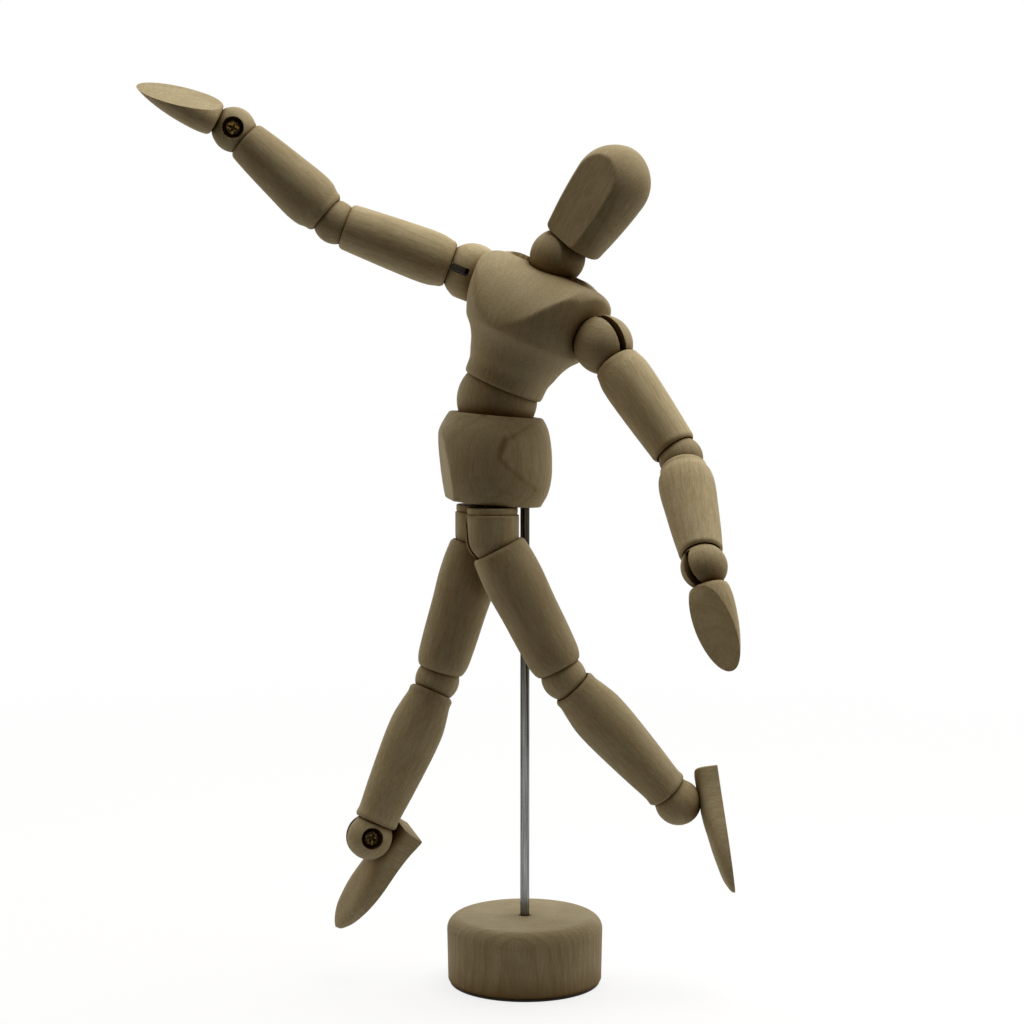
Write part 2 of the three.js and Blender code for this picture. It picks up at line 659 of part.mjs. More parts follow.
// Plain ball with its two links: a rod with a cross pin, and a fork
function linkedJoint(upper, name, centre, upperAxis, lowerAxis, radius) {
  const hinge = new THREE.Vector3().crossVectors(upperAxis, lowerAxis).normalize();
  const middle = upperAxis.clone().add(lowerAxis).normalize();
  const reach = radius + 2;
  const half = LINK_ROD_RADIUS + GAP;
  const rodSlot = new THREE.Matrix4().makeRotationX(Math.PI);
  const rod = group(upper, name + "_upper_link_frame", centre, upperAxis, hinge);
  const rodSolid = pin(LINK_ROD_RADIUS, -radius - 9, 0.4, PIN_SIDES).add(
    pin(LINK_PIN_RADIUS, -LINK_PIN_HALF, LINK_PIN_HALF, PIN_SIDES, crosswise()),
  );
  add(rod, name + "_upper_rod", rodSolid, steel);
  const ball = group(upper, name + "_ball_frame", centre, middle, hinge);
  const ballSolid = sphere(radius, BALL_SIDES)
    .subtract(slab(fan(reach, half, LINK_BEND), -half, half, rodSlot))
    .subtract(slab(fan(reach, half + 0.2, LINK_BEND), -FORK_OUTER - GAP, FORK_OUTER + GAP))
    .subtract(pin(FORK_EYE_RADIUS + GAP, -FORK_OUTER - GAP, FORK_OUTER + GAP, DOWEL_SIDES, crosswise()))
    .subtract(
      pin(LINK_PIN_RADIUS + GAP, -LINK_PIN_HALF - GAP, LINK_PIN_HALF + GAP, PIN_SIDES, crosswise()),
    );
  add(ball, name + "_ball", ballSolid, wood);
  const fork = group(ball, name + "_lower_link_frame", centre, lowerAxis, hinge);
  const bar = LINK_ROD_RADIUS;
  const forkSolid = pin(FORK_EYE_RADIUS, -FORK_OUTER, FORK_OUTER, DOWEL_SIDES, crosswise())
    .add(box([-FORK_OUTER, -bar, 0], [FORK_OUTER, bar, 6]))
    .subtract(box([-FORK_INNER, -4, -4], [FORK_INNER, 4, 4]))
    .subtract(pin(LINK_PIN_RADIUS + GAP, -4, 4, PIN_SIDES, crosswise()))
    .add(pin(LINK_ROD_RADIUS, 5, radius + 9, PIN_SIDES));
  add(fork, name + "_lower_rod", forkSolid, steel);
  return fork;
}

function scaled(table, radius) {
  return table.map(([share, part]) => [share, part * radius]);
}

const UPPER_ARM_SHAPE = [
  [0.06, 0.91],
  [0.13, 0.975],
  [0.24, 1],
  [0.5, 0.97],
  [0.75, 0.92],
  [0.92, 0.88],
];
const FOREARM_SHAPE = [
  [0.06, 0.85],
  [0.13, 0.955],
  [0.24, 1],
  [0.5, 0.935],
  [0.75, 0.86],
  [0.93, 0.785],
];
const THIGH_SHAPE = [
  [0.06, 0.95],
  [0.14, 0.985],
  [0.28, 1],
  [0.5, 0.955],
  [0.78, 0.92],
  [0.93, 0.87],
];
const SHIN_SHAPE = [
  [0.06, 0.83],
  [0.13, 0.9],
  [0.24, 0.99],
  [0.36, 1],
  [0.55, 0.945],
  [0.75, 0.865],
  [0.94, 0.78],
];

// Thickness of the foot over its sole, from heel to toe
const FOOT_SIDE = [
  [0.2, 0.98],
  [0.39, 0.91],
  [0.65, 0.69],
  [0.86, 0.45],
  [0.95, 0.22],
  [1.005, 0.06],
];

// Hand: a flattened spindle cut by the sloping plane of the palm
function handSolid(share, tongue) {
  const rim = HAND_RIM * share;
  const end = HAND_REACH * share;
  const span = end - rim;
  const wide = (HAND_WIDTH / 2) * share;
  const thick = HAND_THICKNESS / HAND_WIDTH;
  const profile = [
    [rim, wide * 0.78],
    [rim + 0.7, wide * 0.86],
    [rim + span * 0.13, wide * 0.965],
    [rim + span * 0.28, wide],
    [rim + span * 0.48, wide * 0.975],
    [rim + span * 0.66, wide * 0.88],
    [rim + span * 0.82, wide * 0.72],
    [rim + span * 0.93, wide * 0.52],
    [end, wide * 0.25],
  ];
  const points = [new THREE.Vector2(0, rim)];
  for (const [height, radius] of profile) points.push(new THREE.Vector2(radius, height));
  points.push(new THREE.Vector2(0, end));
  const geometry = new THREE.LatheGeometry(points, LIMB_SIDES);
  geometry.rotateX(Math.PI / 2);
  geometry.scale(1, thick, 1);
  const palm = beyond(
    new THREE.Vector3(0, 6.3 * share, rim),
    new THREE.Vector3(0, 1, PALM_SLOPE),
    CUTTER,
  );
  return solidOf(geometry)
    .subtract(palm)
    .subtract(sphere(WRIST_BALL_RADIUS * share + CUP, CUP_SIDES))
    .subtract(pin(TONGUE_HALF + GAP, 0, (WRIST_BALL_RADIUS + 9) * share + GAP, PIN_SIDES, tongue));
}

// Foot: flat sole, square heel, drawn-in arch and a thin rounded toe. From the ball's centre, Z runs
// down to the sole and Y to the toe; tongue is the frame of the tongue's shank
function footSolid(tongue) {
  const heel = -FOOT_HEEL_LENGTH;
  const toe = heel + FOOT_LENGTH;
  const half = FOOT_WIDTH / 2;
  const at = (share) => heel + FOOT_LENGTH * share;
  const plan = new THREE.Shape();
  plan.moveTo(-half * 0.86, heel);
  plan.lineTo(half * 0.86, heel);
  plan.bezierCurveTo(half * 0.74, at(0.12), half * 0.78, at(0.34), half * 0.96, at(0.48));
  plan.bezierCurveTo(half * 1.14, at(0.64), half * 0.62, at(0.94), half * 0.2, at(0.99));
  plan.lineTo(0, toe);
  plan.lineTo(-half * 0.2, at(0.99));
  plan.bezierCurveTo(-half * 0.62, at(0.94), -half * 1.14, at(0.64), -half * 0.96, at(0.48));
  plan.bezierCurveTo(-half * 0.78, at(0.34), -half * 0.74, at(0.12), -half * 0.86, heel);
  const geometry = new THREE.ExtrudeGeometry(plan, { depth: 40, bevelEnabled: false, curveSegments: 4 });
  const sole = FOOT_TOP + FOOT_THICKNESS;
  const side = [[heel - 1, sole], [heel - 1, FOOT_TOP]];
  for (const [share, thickness] of FOOT_SIDE) side.push([at(share), sole - thickness * FOOT_THICKNESS]);
  side.push([toe + 1, sole]);
  return solidOf(geometry)
    .intersect(slab(side, -30, 30))
    .subtract(sphere(ANKLE_BALL_RADIUS + CUP, CUP_SIDES + 2))
    .subtract(pin(TONGUE_HALF + GAP, 0, sole - FOOT_SHANK_COVER, PIN_SIDES, tongue));
}

function buildArm(side, spec) {
  const centre = spec.shoulder;
  const share = spec.share;
  const upperAxis = unit(spec.upper);
  const foreAxis = unit(spec.fore);
  const handAxis = unit(spec.hand);
  const hinge = new THREE.Vector3().crossVectors(upperAxis, foreAxis).normalize();
  const swing = slottedJoint(torso, side + "_shoulder", {
    centre,
    outward: spec.outward,
    nextAxis: upperAxis,
    screw: spec.shoulderScrew,
    radius: SHOULDER_BALL_RADIUS * share,
    dowelFrom: SHOULDER_BALL_RADIUS * share,
    dowelLength: shoulderDowel,
    slotDepth: 5,
    shank: 9,
  });
  const upper = group(swing, side + "_upper_arm_frame", centre, upperAxis, hinge);
  add(
    upper,
    side + "_upper_arm",
    limbSolid({
      length: UPPER_ARM_LENGTH * share,
      low: SHOULDER_RIM * share,
      high: UPPER_ARM_ELBOW_RIM * share,
      lowBall: SHOULDER_BALL_RADIUS * share,
      highBall: ELBOW_BALL_RADIUS * share,
      table: scaled(UPPER_ARM_SHAPE, UPPER_ARM_RADIUS * share),
      lowBore: [TONGUE_HALF, SHOULDER_BALL_RADIUS * share + 9],
      highBore: [LINK_ROD_RADIUS, ELBOW_BALL_RADIUS * share + 9],
    }),
    wood,
  );
  const elbowRadius = ELBOW_BALL_RADIUS * share;
  const elbow = centre.clone().addScaledVector(upperAxis, UPPER_ARM_LENGTH * share);
  const fork = linkedJoint(upper, side + "_elbow", elbow, upperAxis, foreAxis, elbowRadius);
  const fore = group(fork, side + "_forearm_frame", elbow, foreAxis, hinge);
  add(
    fore,
    side + "_forearm",
    limbSolid({
      length: FOREARM_LENGTH * share,
      low: FOREARM_ELBOW_RIM * share,
      high: WRIST_RIM * share,
      lowBall: elbowRadius,
      highBall: WRIST_BALL_RADIUS * share,
      table: scaled(FOREARM_SHAPE, FOREARM_RADIUS * share),
      lowBore: [LINK_ROD_RADIUS, elbowRadius + 9],
      highBore: [DOWEL_RADIUS, WRIST_BALL_RADIUS * share + 7],
    }),
    wood,
  );
  const wrist = elbow.clone().addScaledVector(foreAxis, FOREARM_LENGTH * share);
  const handTongue = across(spec.hand, unit(spec.wristScrew));
  const wristSwing = slottedJoint(fore, side + "_wrist", {
    centre: wrist,
    outward: foreAxis,
    nextAxis: handTongue,
    screw: spec.wristScrew,
    radius: WRIST_BALL_RADIUS * share,
    dowelFrom: WRIST_BALL_RADIUS * share,
    dowelLength: 7,
    slotDepth: 4.2,
    shank: 8,
  });
  const palmAxis = across(spec.palm, handAxis);
  const handLeft = new THREE.Vector3().crossVectors(palmAxis, handAxis);
  const hand = group(wristSwing, side + "_hand_frame", wrist, handAxis, handLeft);
  add(hand, side + "_hand", handSolid(share, within(hand, wrist, handLeft, handTongue)), wood);
}

buildArm("left", {
  share: LEFT_ARM_SHARE,
  shoulder: leftSocket,
  outward: torsoLeft.clone(),
  upper: LEFT_UPPER_ARM,
  fore: LEFT_FOREARM,
  hand: LEFT_HAND,
  palm: LEFT_PALM,
  shoulderScrew: LEFT_SHOULDER_SCREW,
  wristScrew: LEFT_WRIST_SCREW,
});
buildArm("right", {
  share: 1,
  shoulder: rightSocket,
  outward: torsoLeft.clone().negate(),
  upper: RIGHT_UPPER_ARM,
  fore: RIGHT_FOREARM,
  hand: RIGHT_HAND,
  palm: RIGHT_PALM,
  shoulderScrew: RIGHT_SHOULDER_SCREW,
  wristScrew: RIGHT_WRIST_SCREW,
});

// Hip piece: a short cylinder with a rounded lower end and a narrower collar
function hipShape() {
  const profile = [
    [-hipCollarTop, HIP_BALL_RADIUS - 0.45],
    [-9.2, HIP_BALL_RADIUS - 0.45],
    [-9.1, HIP_BALL_RADIUS - 0.75],
    [-8.7, HIP_BALL_RADIUS - 0.75],
    [-8.6, HIP_BALL_RADIUS],
    [0, HIP_BALL_RADIUS],
  ];
  for (let i = 1; i < 6; i++) {
    const angle = (i / 6) * (Math.PI / 2);
    profile.push([HIP_BALL_RADIUS * Math.sin(angle), HIP_BALL_RADIUS * Math.cos(angle)]);
  }
  profile.push([HIP_BALL_RADIUS, 0.01]);
  return turned(profile, BALL_SIDES + 2);
}

function buildLeg(side, spec) {
  const centre = hips[side];
  const hipAxis = unit(HIP_AXIS);
  const thighAxis = unit(spec.thigh);
  const shinAxis = unit(spec.shin);
  const footAxis = unit(spec.footDown);
  const hinge = new THREE.Vector3().crossVectors(thighAxis, shinAxis).normalize();
  const swing = slottedJoint(pelvis, side + "_hip", {
    centre,
    outward: hipAxis,
    nextAxis: thighAxis,
    screw: spec.hipScrew,
    radius: HIP_BALL_RADIUS,
    dowelFrom: hipCollarTop,
    dowelLength: hipPostLength,
    slotDepth: 8.3,
    shank: 9,
    shape: hipShape(),
  });
  const thigh = group(swing, side + "_thigh_frame", centre, thighAxis, hinge);
  add(
    thigh,
    side + "_thigh",
    limbSolid({
      length: THIGH_LENGTH,
      low: THIGH_HIP_RIM,
      high: THIGH_KNEE_RIM,
      lowBall: HIP_BALL_RADIUS,
      highBall: KNEE_BALL_RADIUS,
      table: scaled(THIGH_SHAPE, THIGH_RADIUS),
      lowBore: [TONGUE_HALF, HIP_BALL_RADIUS + 9],
      highBore: [LINK_ROD_RADIUS, KNEE_BALL_RADIUS + 9],
    }),
    wood,
  );
  const knee = centre.clone().addScaledVector(thighAxis, THIGH_LENGTH);
  const fork = linkedJoint(thigh, side + "_knee", knee, thighAxis, shinAxis, KNEE_BALL_RADIUS);
  const shin = group(fork, side + "_shin_frame", knee, shinAxis, hinge);
  add(
    shin,
    side + "_shin",
    limbSolid({
      length: SHIN_LENGTH,
      low: SHIN_KNEE_RIM,
      high: ANKLE_RIM,
      lowBall: KNEE_BALL_RADIUS,
      highBall: ANKLE_BALL_RADIUS,
      table: scaled(SHIN_SHAPE, SHIN_RADIUS),
      lowBore: [LINK_ROD_RADIUS, KNEE_BALL_RADIUS + 9],
      highBore: [DOWEL_RADIUS, ANKLE_BALL_RADIUS + 7],
    }),
    wood,
  );
  const ankle = knee.clone().addScaledVector(shinAxis, SHIN_LENGTH);
  const footTongue = across(spec.footDown, unit(spec.ankleScrew));
  const ankleSwing = slottedJoint(shin, side + "_ankle", {
    centre: ankle,
    outward: shinAxis,
    nextAxis: footTongue,
    screw: spec.ankleScrew,
    radius: ANKLE_BALL_RADIUS,
    dowelFrom: ANKLE_BALL_RADIUS,
    dowelLength: 7,
    slotDepth: 4.2,
    shank: FOOT_TOP + FOOT_THICKNESS - FOOT_SHANK_COVER - ANKLE_BALL_RADIUS - GAP,
  });
  const toeAxis = across(spec.toe, footAxis);
  const footLeft = new THREE.Vector3().crossVectors(toeAxis, footAxis);
  const foot = group(ankleSwing, side + "_foot_frame", ankle, footAxis, footLeft);
  add(foot, side + "_foot", footSolid(within(foot, ankle, footLeft, footTongue)), wood);
}

buildLeg("left", {
  thigh: LEFT_THIGH,
  shin: LEFT_SHIN,
  footDown: LEFT_FOOT_DOWN,
  toe: LEFT_FOOT_TOE,
  hipScrew: LEFT_HIP_SCREW,
  ankleScrew: LEFT_ANKLE_SCREW,
});
buildLeg("right", {
  thigh: RIGHT_THIGH,
  shin: RIGHT_SHIN,
  footDown: RIGHT_FOOT_DOWN,
  toe: RIGHT_FOOT_TOE,
  hipScrew: RIGHT_HIP_SCREW,
  ankleScrew: RIGHT_ANKLE_SCREW,
});

export default root;
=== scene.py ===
"""Wooden artist mannequin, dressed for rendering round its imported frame.

Shapes are worked out in millimetres, each in the frame of its own piece. The frame's joints place them.
"""

import json
import math
import random

import bmesh
import bpy
import numpy as np
from mathutils import Matrix, Vector


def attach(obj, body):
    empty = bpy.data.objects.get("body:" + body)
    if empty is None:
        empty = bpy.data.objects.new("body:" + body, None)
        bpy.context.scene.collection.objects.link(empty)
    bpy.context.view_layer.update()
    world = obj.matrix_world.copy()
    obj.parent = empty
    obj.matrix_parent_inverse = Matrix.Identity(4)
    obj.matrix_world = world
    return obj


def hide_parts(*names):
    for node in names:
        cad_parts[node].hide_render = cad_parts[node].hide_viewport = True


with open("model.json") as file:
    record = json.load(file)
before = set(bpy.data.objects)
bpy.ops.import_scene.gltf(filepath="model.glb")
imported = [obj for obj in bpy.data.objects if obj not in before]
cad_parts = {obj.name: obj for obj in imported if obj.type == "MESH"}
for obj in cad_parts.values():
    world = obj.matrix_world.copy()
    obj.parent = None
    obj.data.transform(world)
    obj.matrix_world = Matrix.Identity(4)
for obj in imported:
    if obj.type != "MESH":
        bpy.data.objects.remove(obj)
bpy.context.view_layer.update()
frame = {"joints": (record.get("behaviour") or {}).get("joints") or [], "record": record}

MM = 0.001
JOINTS = {joint["name"]: joint for joint in frame["joints"]}
BODY_OF = {
    node: body
    for body, nodes in frame["record"]["behaviour"]["bodies"].items()
    for node in nodes
}
SIDES = ("left", "right")

# Camera
CAMERA_PLACE = (-4.85, -830, 240.2)
CAMERA_PITCH = math.radians(4.22)
CAMERA_LENS = 78.02
SENSOR_WIDTH = 36

# Clearances
GAP = 0.3
CUP_GAP = 1.5 * GAP
RIM_WALL = 0.45

# Stand
BASE_RADIUS = 29.5
BASE_HEIGHT = 25.5
BASE_EDGE_RADIUS = 5
BASE_TAPER = 0.4
PAD_RADIUS = 28.4
PAD_THICKNESS = 1
ROD_RADIUS = 1.75
ROD_BOTTOM = 5.3
ROD_TOP = 197

# Pelvis
PELVIS_CENTRE = (-11.75, -3, 199.3)
PELVIS_RADIUS = 21.8
PELVIS_HALF_UP = 16.4
PELVIS_HALF_DOWN = 16.6
PELVIS_FACE_SLOPE = math.radians(5)
PELVIS_FLAT_OFFSET = 18.7
PELVIS_FLAT_TILT = math.radians(8)
PELVIS_FRONT = (-0.985, -0.174, 0)
PELVIS_FLAT_EDGE = 0.35
PELVIS_BARREL = [
    (-22, 0.75), (-17.5, 0.83), (-14, 0.92), (-10, 0.975), (-6, 1), (-1, 1.003),
    (3, 0.995), (7, 0.972), (11, 0.93), (14.5, 0.85), (17.2, 0.77), (20, 0.66),
]

# Torso, from the centre of the waist ball
TORSO_LENGTH = 57.4
TORSO_WAIST_PLANE = 5.5
TORSO_TOP_PLANE = 4.1
TORSO_RIB_HEIGHT = 25.4
TORSO_RIB_RADIUS = 23
TORSO_CHEST_RADIUS = 26.3
TORSO_SIDE_OFFSET = 24
CHEST_DEPTH = 23.5
CHEST_ARC_RADIUS = 21.5
CHEST_ARC_START = 27
CHEST_ARC_STRETCH = 1.15
TORSO_PLANED_FROM = 12
CHEST_EDGE = 0.8
PLANED_EDGE = 0.9

# Head, from the centre of the neck ball
HEAD_CHIN_PLANE = 7.3
HEAD_TOP = 48.4
HEAD_RADIUS = 13.95
HEAD_SIDE_SHIFT = 1.6
FACE_OFFSET = 8.3
FACE_SLOPE = 0.09
FACE_EDGE = 0.45

# Balls
WAIST_BALL_RADIUS = 15
NECK_BALL_RADIUS = 10.3
SHOULDER_BALL_RADIUS = 11.3
ELBOW_BALL_RADIUS = 8.3
WRIST_BALL_RADIUS = 8.45
HIP_BALL_RADIUS = 9.8
KNEE_BALL_RADIUS = 8.4
ANKLE_BALL_RADIUS = 8.7

# Limbs and hands
UPPER_ARM_RADIUS = 10.1
FOREARM_RADIUS = 10.4
THIGH_RADIUS = 11.15
SHIN_RADIUS = 10.3
ARM_SHARE = {"left": 0.955, "right": 1}
HAND_REACH = 41.6
HAND_RIM = 7.3
HAND_WIDTH = 17.7
HAND_THICKNESS = 14.2
PALM_OFFSET = 6.3
PALM_SLOPE = 0.325
HAND_SHANK = 8

# Rim planes, from the ball centre
SHOULDER_RIM = 8.8
UPPER_ARM_ELBOW_RIM = 4.2
FOREARM_ELBOW_RIM = 4.5
WRIST_RIM = 5.6
THIGH_HIP_RIM = 4.5
THIGH_KNEE_RIM = 3.9
SHIN_KNEE_RIM = 4.8
ANKLE_RIM = 5.6

# Foot
FOOT_LENGTH = 47.5
FOOT_WIDTH = 16.6
FOOT_THICKNESS = 8.8
FOOT_HEEL_LENGTH = 10.3
FOOT_TOP = 7.4
FOOT_SHANK_COVER = 2.2
HEEL_ROUNDING = 0.6
ANKLE_SHANK = {"left": 5, "right": -0.6}
BORED_FOOT = "left"

# Hip piece
HIP_COLLAR_TOP = 11.4
HIP_POST_LENGTH = 12
HIP_GROOVE_HIGH = 9.1
HIP_GROOVE_LOW = 8.7

# Metalwork
SLOT_HALF = 1.4
SLOT_DEPTH = {"shoulder": 5, "wrist": 4.2, "hip": 8.3, "ankle": 4.2}
WAIST_DOWEL = 9
NECK_DOWEL = 8
SHOULDER_DOWEL = 9
END_DOWEL = 7
SHANK_DEPTH = 9
TONGUE_HALF = 1.1
TONGUE_BAR_HALF = 1.8
EYE_RADIUS = 3.3
SCREW_RADIUS = 1.5
SCREW_HEAD_RADIUS = 3
SCREW_HEAD_HEIGHT = 1.6
CROSS_DEPTH = 0.95
CROSS_HALF = 0.36
COUNTERBORE_RADIUS = 4
COUNTERBORE_DEPTH = 3.9
DOWEL_RADIUS = 3
LINK_ROD_RADIUS = 1.4
LINK_PIN_RADIUS = 1.2
LINK_PIN_HALF = 5
FORK_INNER = 1.8
FORK_OUTER = 3
FORK_EYE_RADIUS = 2.6
LINK_BEND = 27
WAIST_BEND = 36
NECK_BEND = 30
PIN_SHARE = 0.55
SCREW_TIP_SHARE = 0.72
DOWEL_ROOT_SHARE = 0.7
DOWEL_EDGE = 0.4
WIRE_EDGE = 0.2
PLATE_EDGE = 0.15
BAR_SHORT = 1.5
SHANK_ROOT = 3
FORK_BAR_LENGTH = 6
FORK_MOUTH = 4
FORK_ROD_ROOT = 5

# Directions that no joint gives
UP = Vector((0, 0, 1))
ACROSS = Vector((1, 0, 0))
HIP_AXIS = Vector((0, 0, -1))
HEAD_FRONT = (-0.471, -0.819, 0.328)
HAND = {"left": (0.165, -0.4, -0.9), "right": (-0.852, -0.221, 0.474)}
PALM = {"left": (-0.72, -0.48, 0.5), "right": (0.5, -0.429, 0.752)}
FOOT_DOWN = {"left": (0.99, -0.02, 0.125), "right": (0.637, 0.57, -0.517)}
FOOT_TOE = {"left": (0.1, -0.53, -0.84), "right": (-0.63, 0, -0.777)}
SCREW = {
    "left_shoulder": (0.62, 0.68, 0.39),
    "right_shoulder": (-0.352, 0.063, -0.933),
    "left_wrist": (-0.547, 0.686, -0.475),
    "right_wrist": (0.065, -0.997, 0.027),
    "left_hip": (-0.37, 0.93, 0),
    "right_hip": (0.1, -0.99, 0),
    "left_ankle": (0.024, 0.983, -0.18),
    "right_ankle": (0.217, -0.97, 0.087),
}

# Outer shapes: share of the length between the rims, share of the radius
UPPER_ARM_SHAPE = [(0.06, 0.91), (0.13, 0.975), (0.24, 1), (0.5, 0.97), (0.75, 0.92), (0.92, 0.88)]
FOREARM_SHAPE = [(0.06, 0.85), (0.13, 0.955), (0.24, 1), (0.5, 0.935), (0.75, 0.86), (0.93, 0.785)]
THIGH_SHAPE = [(0.06, 0.95), (0.14, 0.985), (0.28, 1), (0.5, 0.955), (0.78, 0.92), (0.93, 0.87)]
SHIN_SHAPE = [
    (0.06, 0.83), (0.13, 0.9), (0.24, 0.99), (0.36, 1), (0.55, 0.945), (0.75, 0.865), (0.94, 0.78),
]
HAND_SHAPE = [(0.13, 0.965), (0.28, 1), (0.48, 0.975), (0.66, 0.88), (0.82, 0.72), (0.93, 0.52)]
HEAD_SHAPE = [
    (12.5, 0.865), (18, 0.92), (24, 0.965), (30, 0.995), (35, 1),
    (39, 0.93), (42.5, 0.79), (45.3, 0.59), (47.3, 0.36),
]
FOOT_PLAN = [
    (0, 0.86), (0.06, 0.84), (0.16, 0.79), (0.28, 0.81), (0.4, 0.89), (0.5, 0.97), (0.58, 1),
    (0.68, 0.98), (0.78, 0.88), (0.87, 0.71), (0.94, 0.46), (0.98, 0.25), (1, 0),
]
FOOT_SIDE = [
    (0, 1), (0.2, 0.98), (0.39, 0.91), (0.52, 0.8), (0.65, 0.69), (0.76, 0.57), (0.86, 0.45),
    (0.95, 0.26), (1, 0.1),
]

# How strongly the growth rings show
PLAIN_FIGURE = 0.1
FIGURE = {"base": 0.24, "pelvis": 0.13, "head": 0.08, "torso": 0.06}

# How pale each piece's blank is
PLAIN_TONE = 1
TONE = {
    "base": 0.88, "torso": 1.06, "head": 0.98, "left_thigh": 0.98, "right_thigh": 0.98,
    "left_shoulder_ball": 1.1, "left_upper_arm": 1.26, "left_forearm": 1.24, "left_hand": 1.2,
    "right_shoulder_ball": 1.25, "right_upper_arm": 1.2, "right_hand": 1.15,
}

# Scratches, nicks and streaks on the surface, in mm: a path, then the width and strength of each part
MARKS = {
    "pelvis": [
        (((-15.9, -19.8, 216.1), (-14.3, -19.7, 215.6)), ((0.9, 1),)),
        (
            ((-7.4, -23.5, 206.9), (-8.8, -24.2, 203.3), (-9.4, -24.5, 200.4),
             (-7.0, -24.2, 197.5), (-1.9, -22.3, 193.0), (3.6, -17.1, 188.3)),
            ((2.2, 0.8), (1.8, 0.65), (1.4, 0.6), (1.3, 0.6), (1.2, 0.5)),
        ),
        (
            ((-7.4, -23.5, 206.9), (-4.1, -22.1, 208.3), (0.3, -18.6, 211.1), (5.5, -9.4, 213.8)),
            ((1.4, 0.6), (1.2, 0.5), (1.2, 0.4)),
        ),
    ],
    "right_forearm": [(((-84.2, -0.6, 295.4), (-79.2, 0.8, 290.3)), ((0.6, 0.6),))],
    "left_upper_arm": [
        (((40.8, -37.3, 231.8), (44.2, -39.2, 227.2)), ((0.6, 0.5),)),
        (((42.9, -37.5, 230.3), (46.0, -40.3, 224.7)), ((0.6, 0.6),)),
        (((45.2, -39.4, 227.0), (47.7, -41.6, 221.9)), ((0.6, 0.5),)),
    ],
    "right_hand": [(((-130.9, -2.8, 331.5), (-123.6, -3.3, 325.2)), ((0.5, 0.5),))],
    # On the head, a darker sunken streak running down beside the right edge of the face.
    "head": [
        (
            ((33.1, -28.4, 295.0), (28.3, -25.1, 286.3), (22.7, -20.7, 277.2)),
            ((1.1, 0.3), (1.1, 0.35)),
        ),
    ],
}

# Fineness of the meshes
TURNED_SIDES = 112
BODY_SIDES = 176
TOOL_SIDES = 64
PROFILE_STEP = 0.6
ROD_SIDES = 32
HAND_SIDES = 144
FOOT_ROWS = 90
SOLE_POINTS = 12
UPPER_POINTS = 48
ARC_STEPS = 14
BALL_VOXEL = 0.27
BALL_SNAP = 0.16
SHARP_ANGLE = math.radians(38)

# Reach of cutting tools past what they cut
OVERCUT = 3
FAN_OVERCUT = 2
BLOCK = 30

# Light and floor
FRONT_LIGHT = 0.08
BACK_LIGHT = 1.6
LIGHT_SPAN = (-0.5, 0.5)
TINT_SPAN = (-0.15, 0.4)
TOP_TINT_SPAN = (0.2, 1)
FRONT_TINT = (1, 0.52, 0.02, 1)
BACK_TINT = (0.97, 0.99, 1, 1)
LAMP_PLACE = (0.22, -0.04, 0.85)
LAMP_TARGET = (0, 0, 0.25)
LAMP_SIZE = 0.45
LAMP_POWER = 3.6
LAMP_TINT = (1, 0.98, 0.93)
FRONT_FLOOR = 0.04
BACK_FLOOR = 0.75
BOUNCE_SPAN = (-0.35, 0.1)
SEEN_FLOOR = 0.9
FLOOR_GLOW = 0.8
GLOW_SPAN = (0.12, 0.9)
FLOOR_HALF = 8
FLOOR_DROP = 0.00002
WHITE = (1, 1, 1, 1)


def joint_place(name):
    return Vector(JOINTS[name]["pos_m"]) / MM


def joint_axis(name, towards):
    axis = Vector(JOINTS[name]["axis"]).normalized()
    return axis if axis.dot(Vector(towards)) > 0 else -axis


def across(direction, axis):
    made = Vector(direction)
    return (made - axis * made.dot(axis)).normalized()


def frame_at(centre, axis_z, axis_x):
    """Matrix of a frame at centre with the given Z, and X as near axis_x as it can be."""
    z = axis_z.normalized()
    x = across(axis_x, z)
    made = Matrix((x, z.cross(x), z)).transposed().to_4x4()
    made.translation = centre
    return made


CROSSWISE = Matrix.Rotation(math.pi / 2, 4, "Y")


# Meshes


def new_object(name, data):
    made = bpy.data.objects.new(name, data)
    bpy.context.scene.collection.objects.link(made)
    return made


def mesh_object(name, points, faces):
    mesh = bpy.data.meshes.new(name)
    mesh.from_pydata([tuple(p) for p in points], [], faces)
    mesh.update()
    return new_object(name, mesh)


def points_of(made):
    points = np.zeros(len(made.data.vertices) * 3)
    made.data.vertices.foreach_get("co", points)
    return points.reshape(-1, 3)


def set_points(made, points):
    made.data.vertices.foreach_set("co", points.ravel())
    made.data.update()


def smooth_line(points, step=PROFILE_STEP):
    """A smooth line through points, with a point about every step."""
    ends = [2 * np.array(points[0]) - points[1], *points, 2 * np.array(points[-1]) - points[-2]]
    ends = [np.array(p, float) for p in ends]
    made = [ends[1]]
    for before, start, stop, after in zip(ends, ends[1:], ends[2:], ends[3:]):
        pairs = ((before, start), (start, stop), (stop, after))
        gaps = [max(np.linalg.norm(b - a), 1e-6) ** 0.5 for a, b in pairs]
        slope = (stop - start) / gaps[1]
        first = (start - before) / gaps[0] - (stop - before) / (gaps[0] + gaps[1]) + slope
        last = slope - (after - start) / (gaps[1] + gaps[2]) + (after - stop) / gaps[2]
        first, last = first * gaps[1], last * gaps[1]
        count = max(1, round(np.linalg.norm(stop - start) / step))
        for i in range(1, count + 1):
            t = i / count
            made.append(
                (2 * t**3 - 3 * t**2 + 1) * start
                + (t**3 - 2 * t**2 + t) * first
                + (3 * t**2 - 2 * t**3) * stop
                + (t**3 - t**2) * last
            )
    return [(float(a), float(b)) for a, b in made]


def straight(start, stop, step=PROFILE_STEP):
    """Evenly spaced points after start, up to stop."""
    count = max(1, round(math.dist(start, stop) / step))
    return [tuple(a + (b - a) * i / count for a, b in zip(start, stop)) for i in range(1, count + 1)]


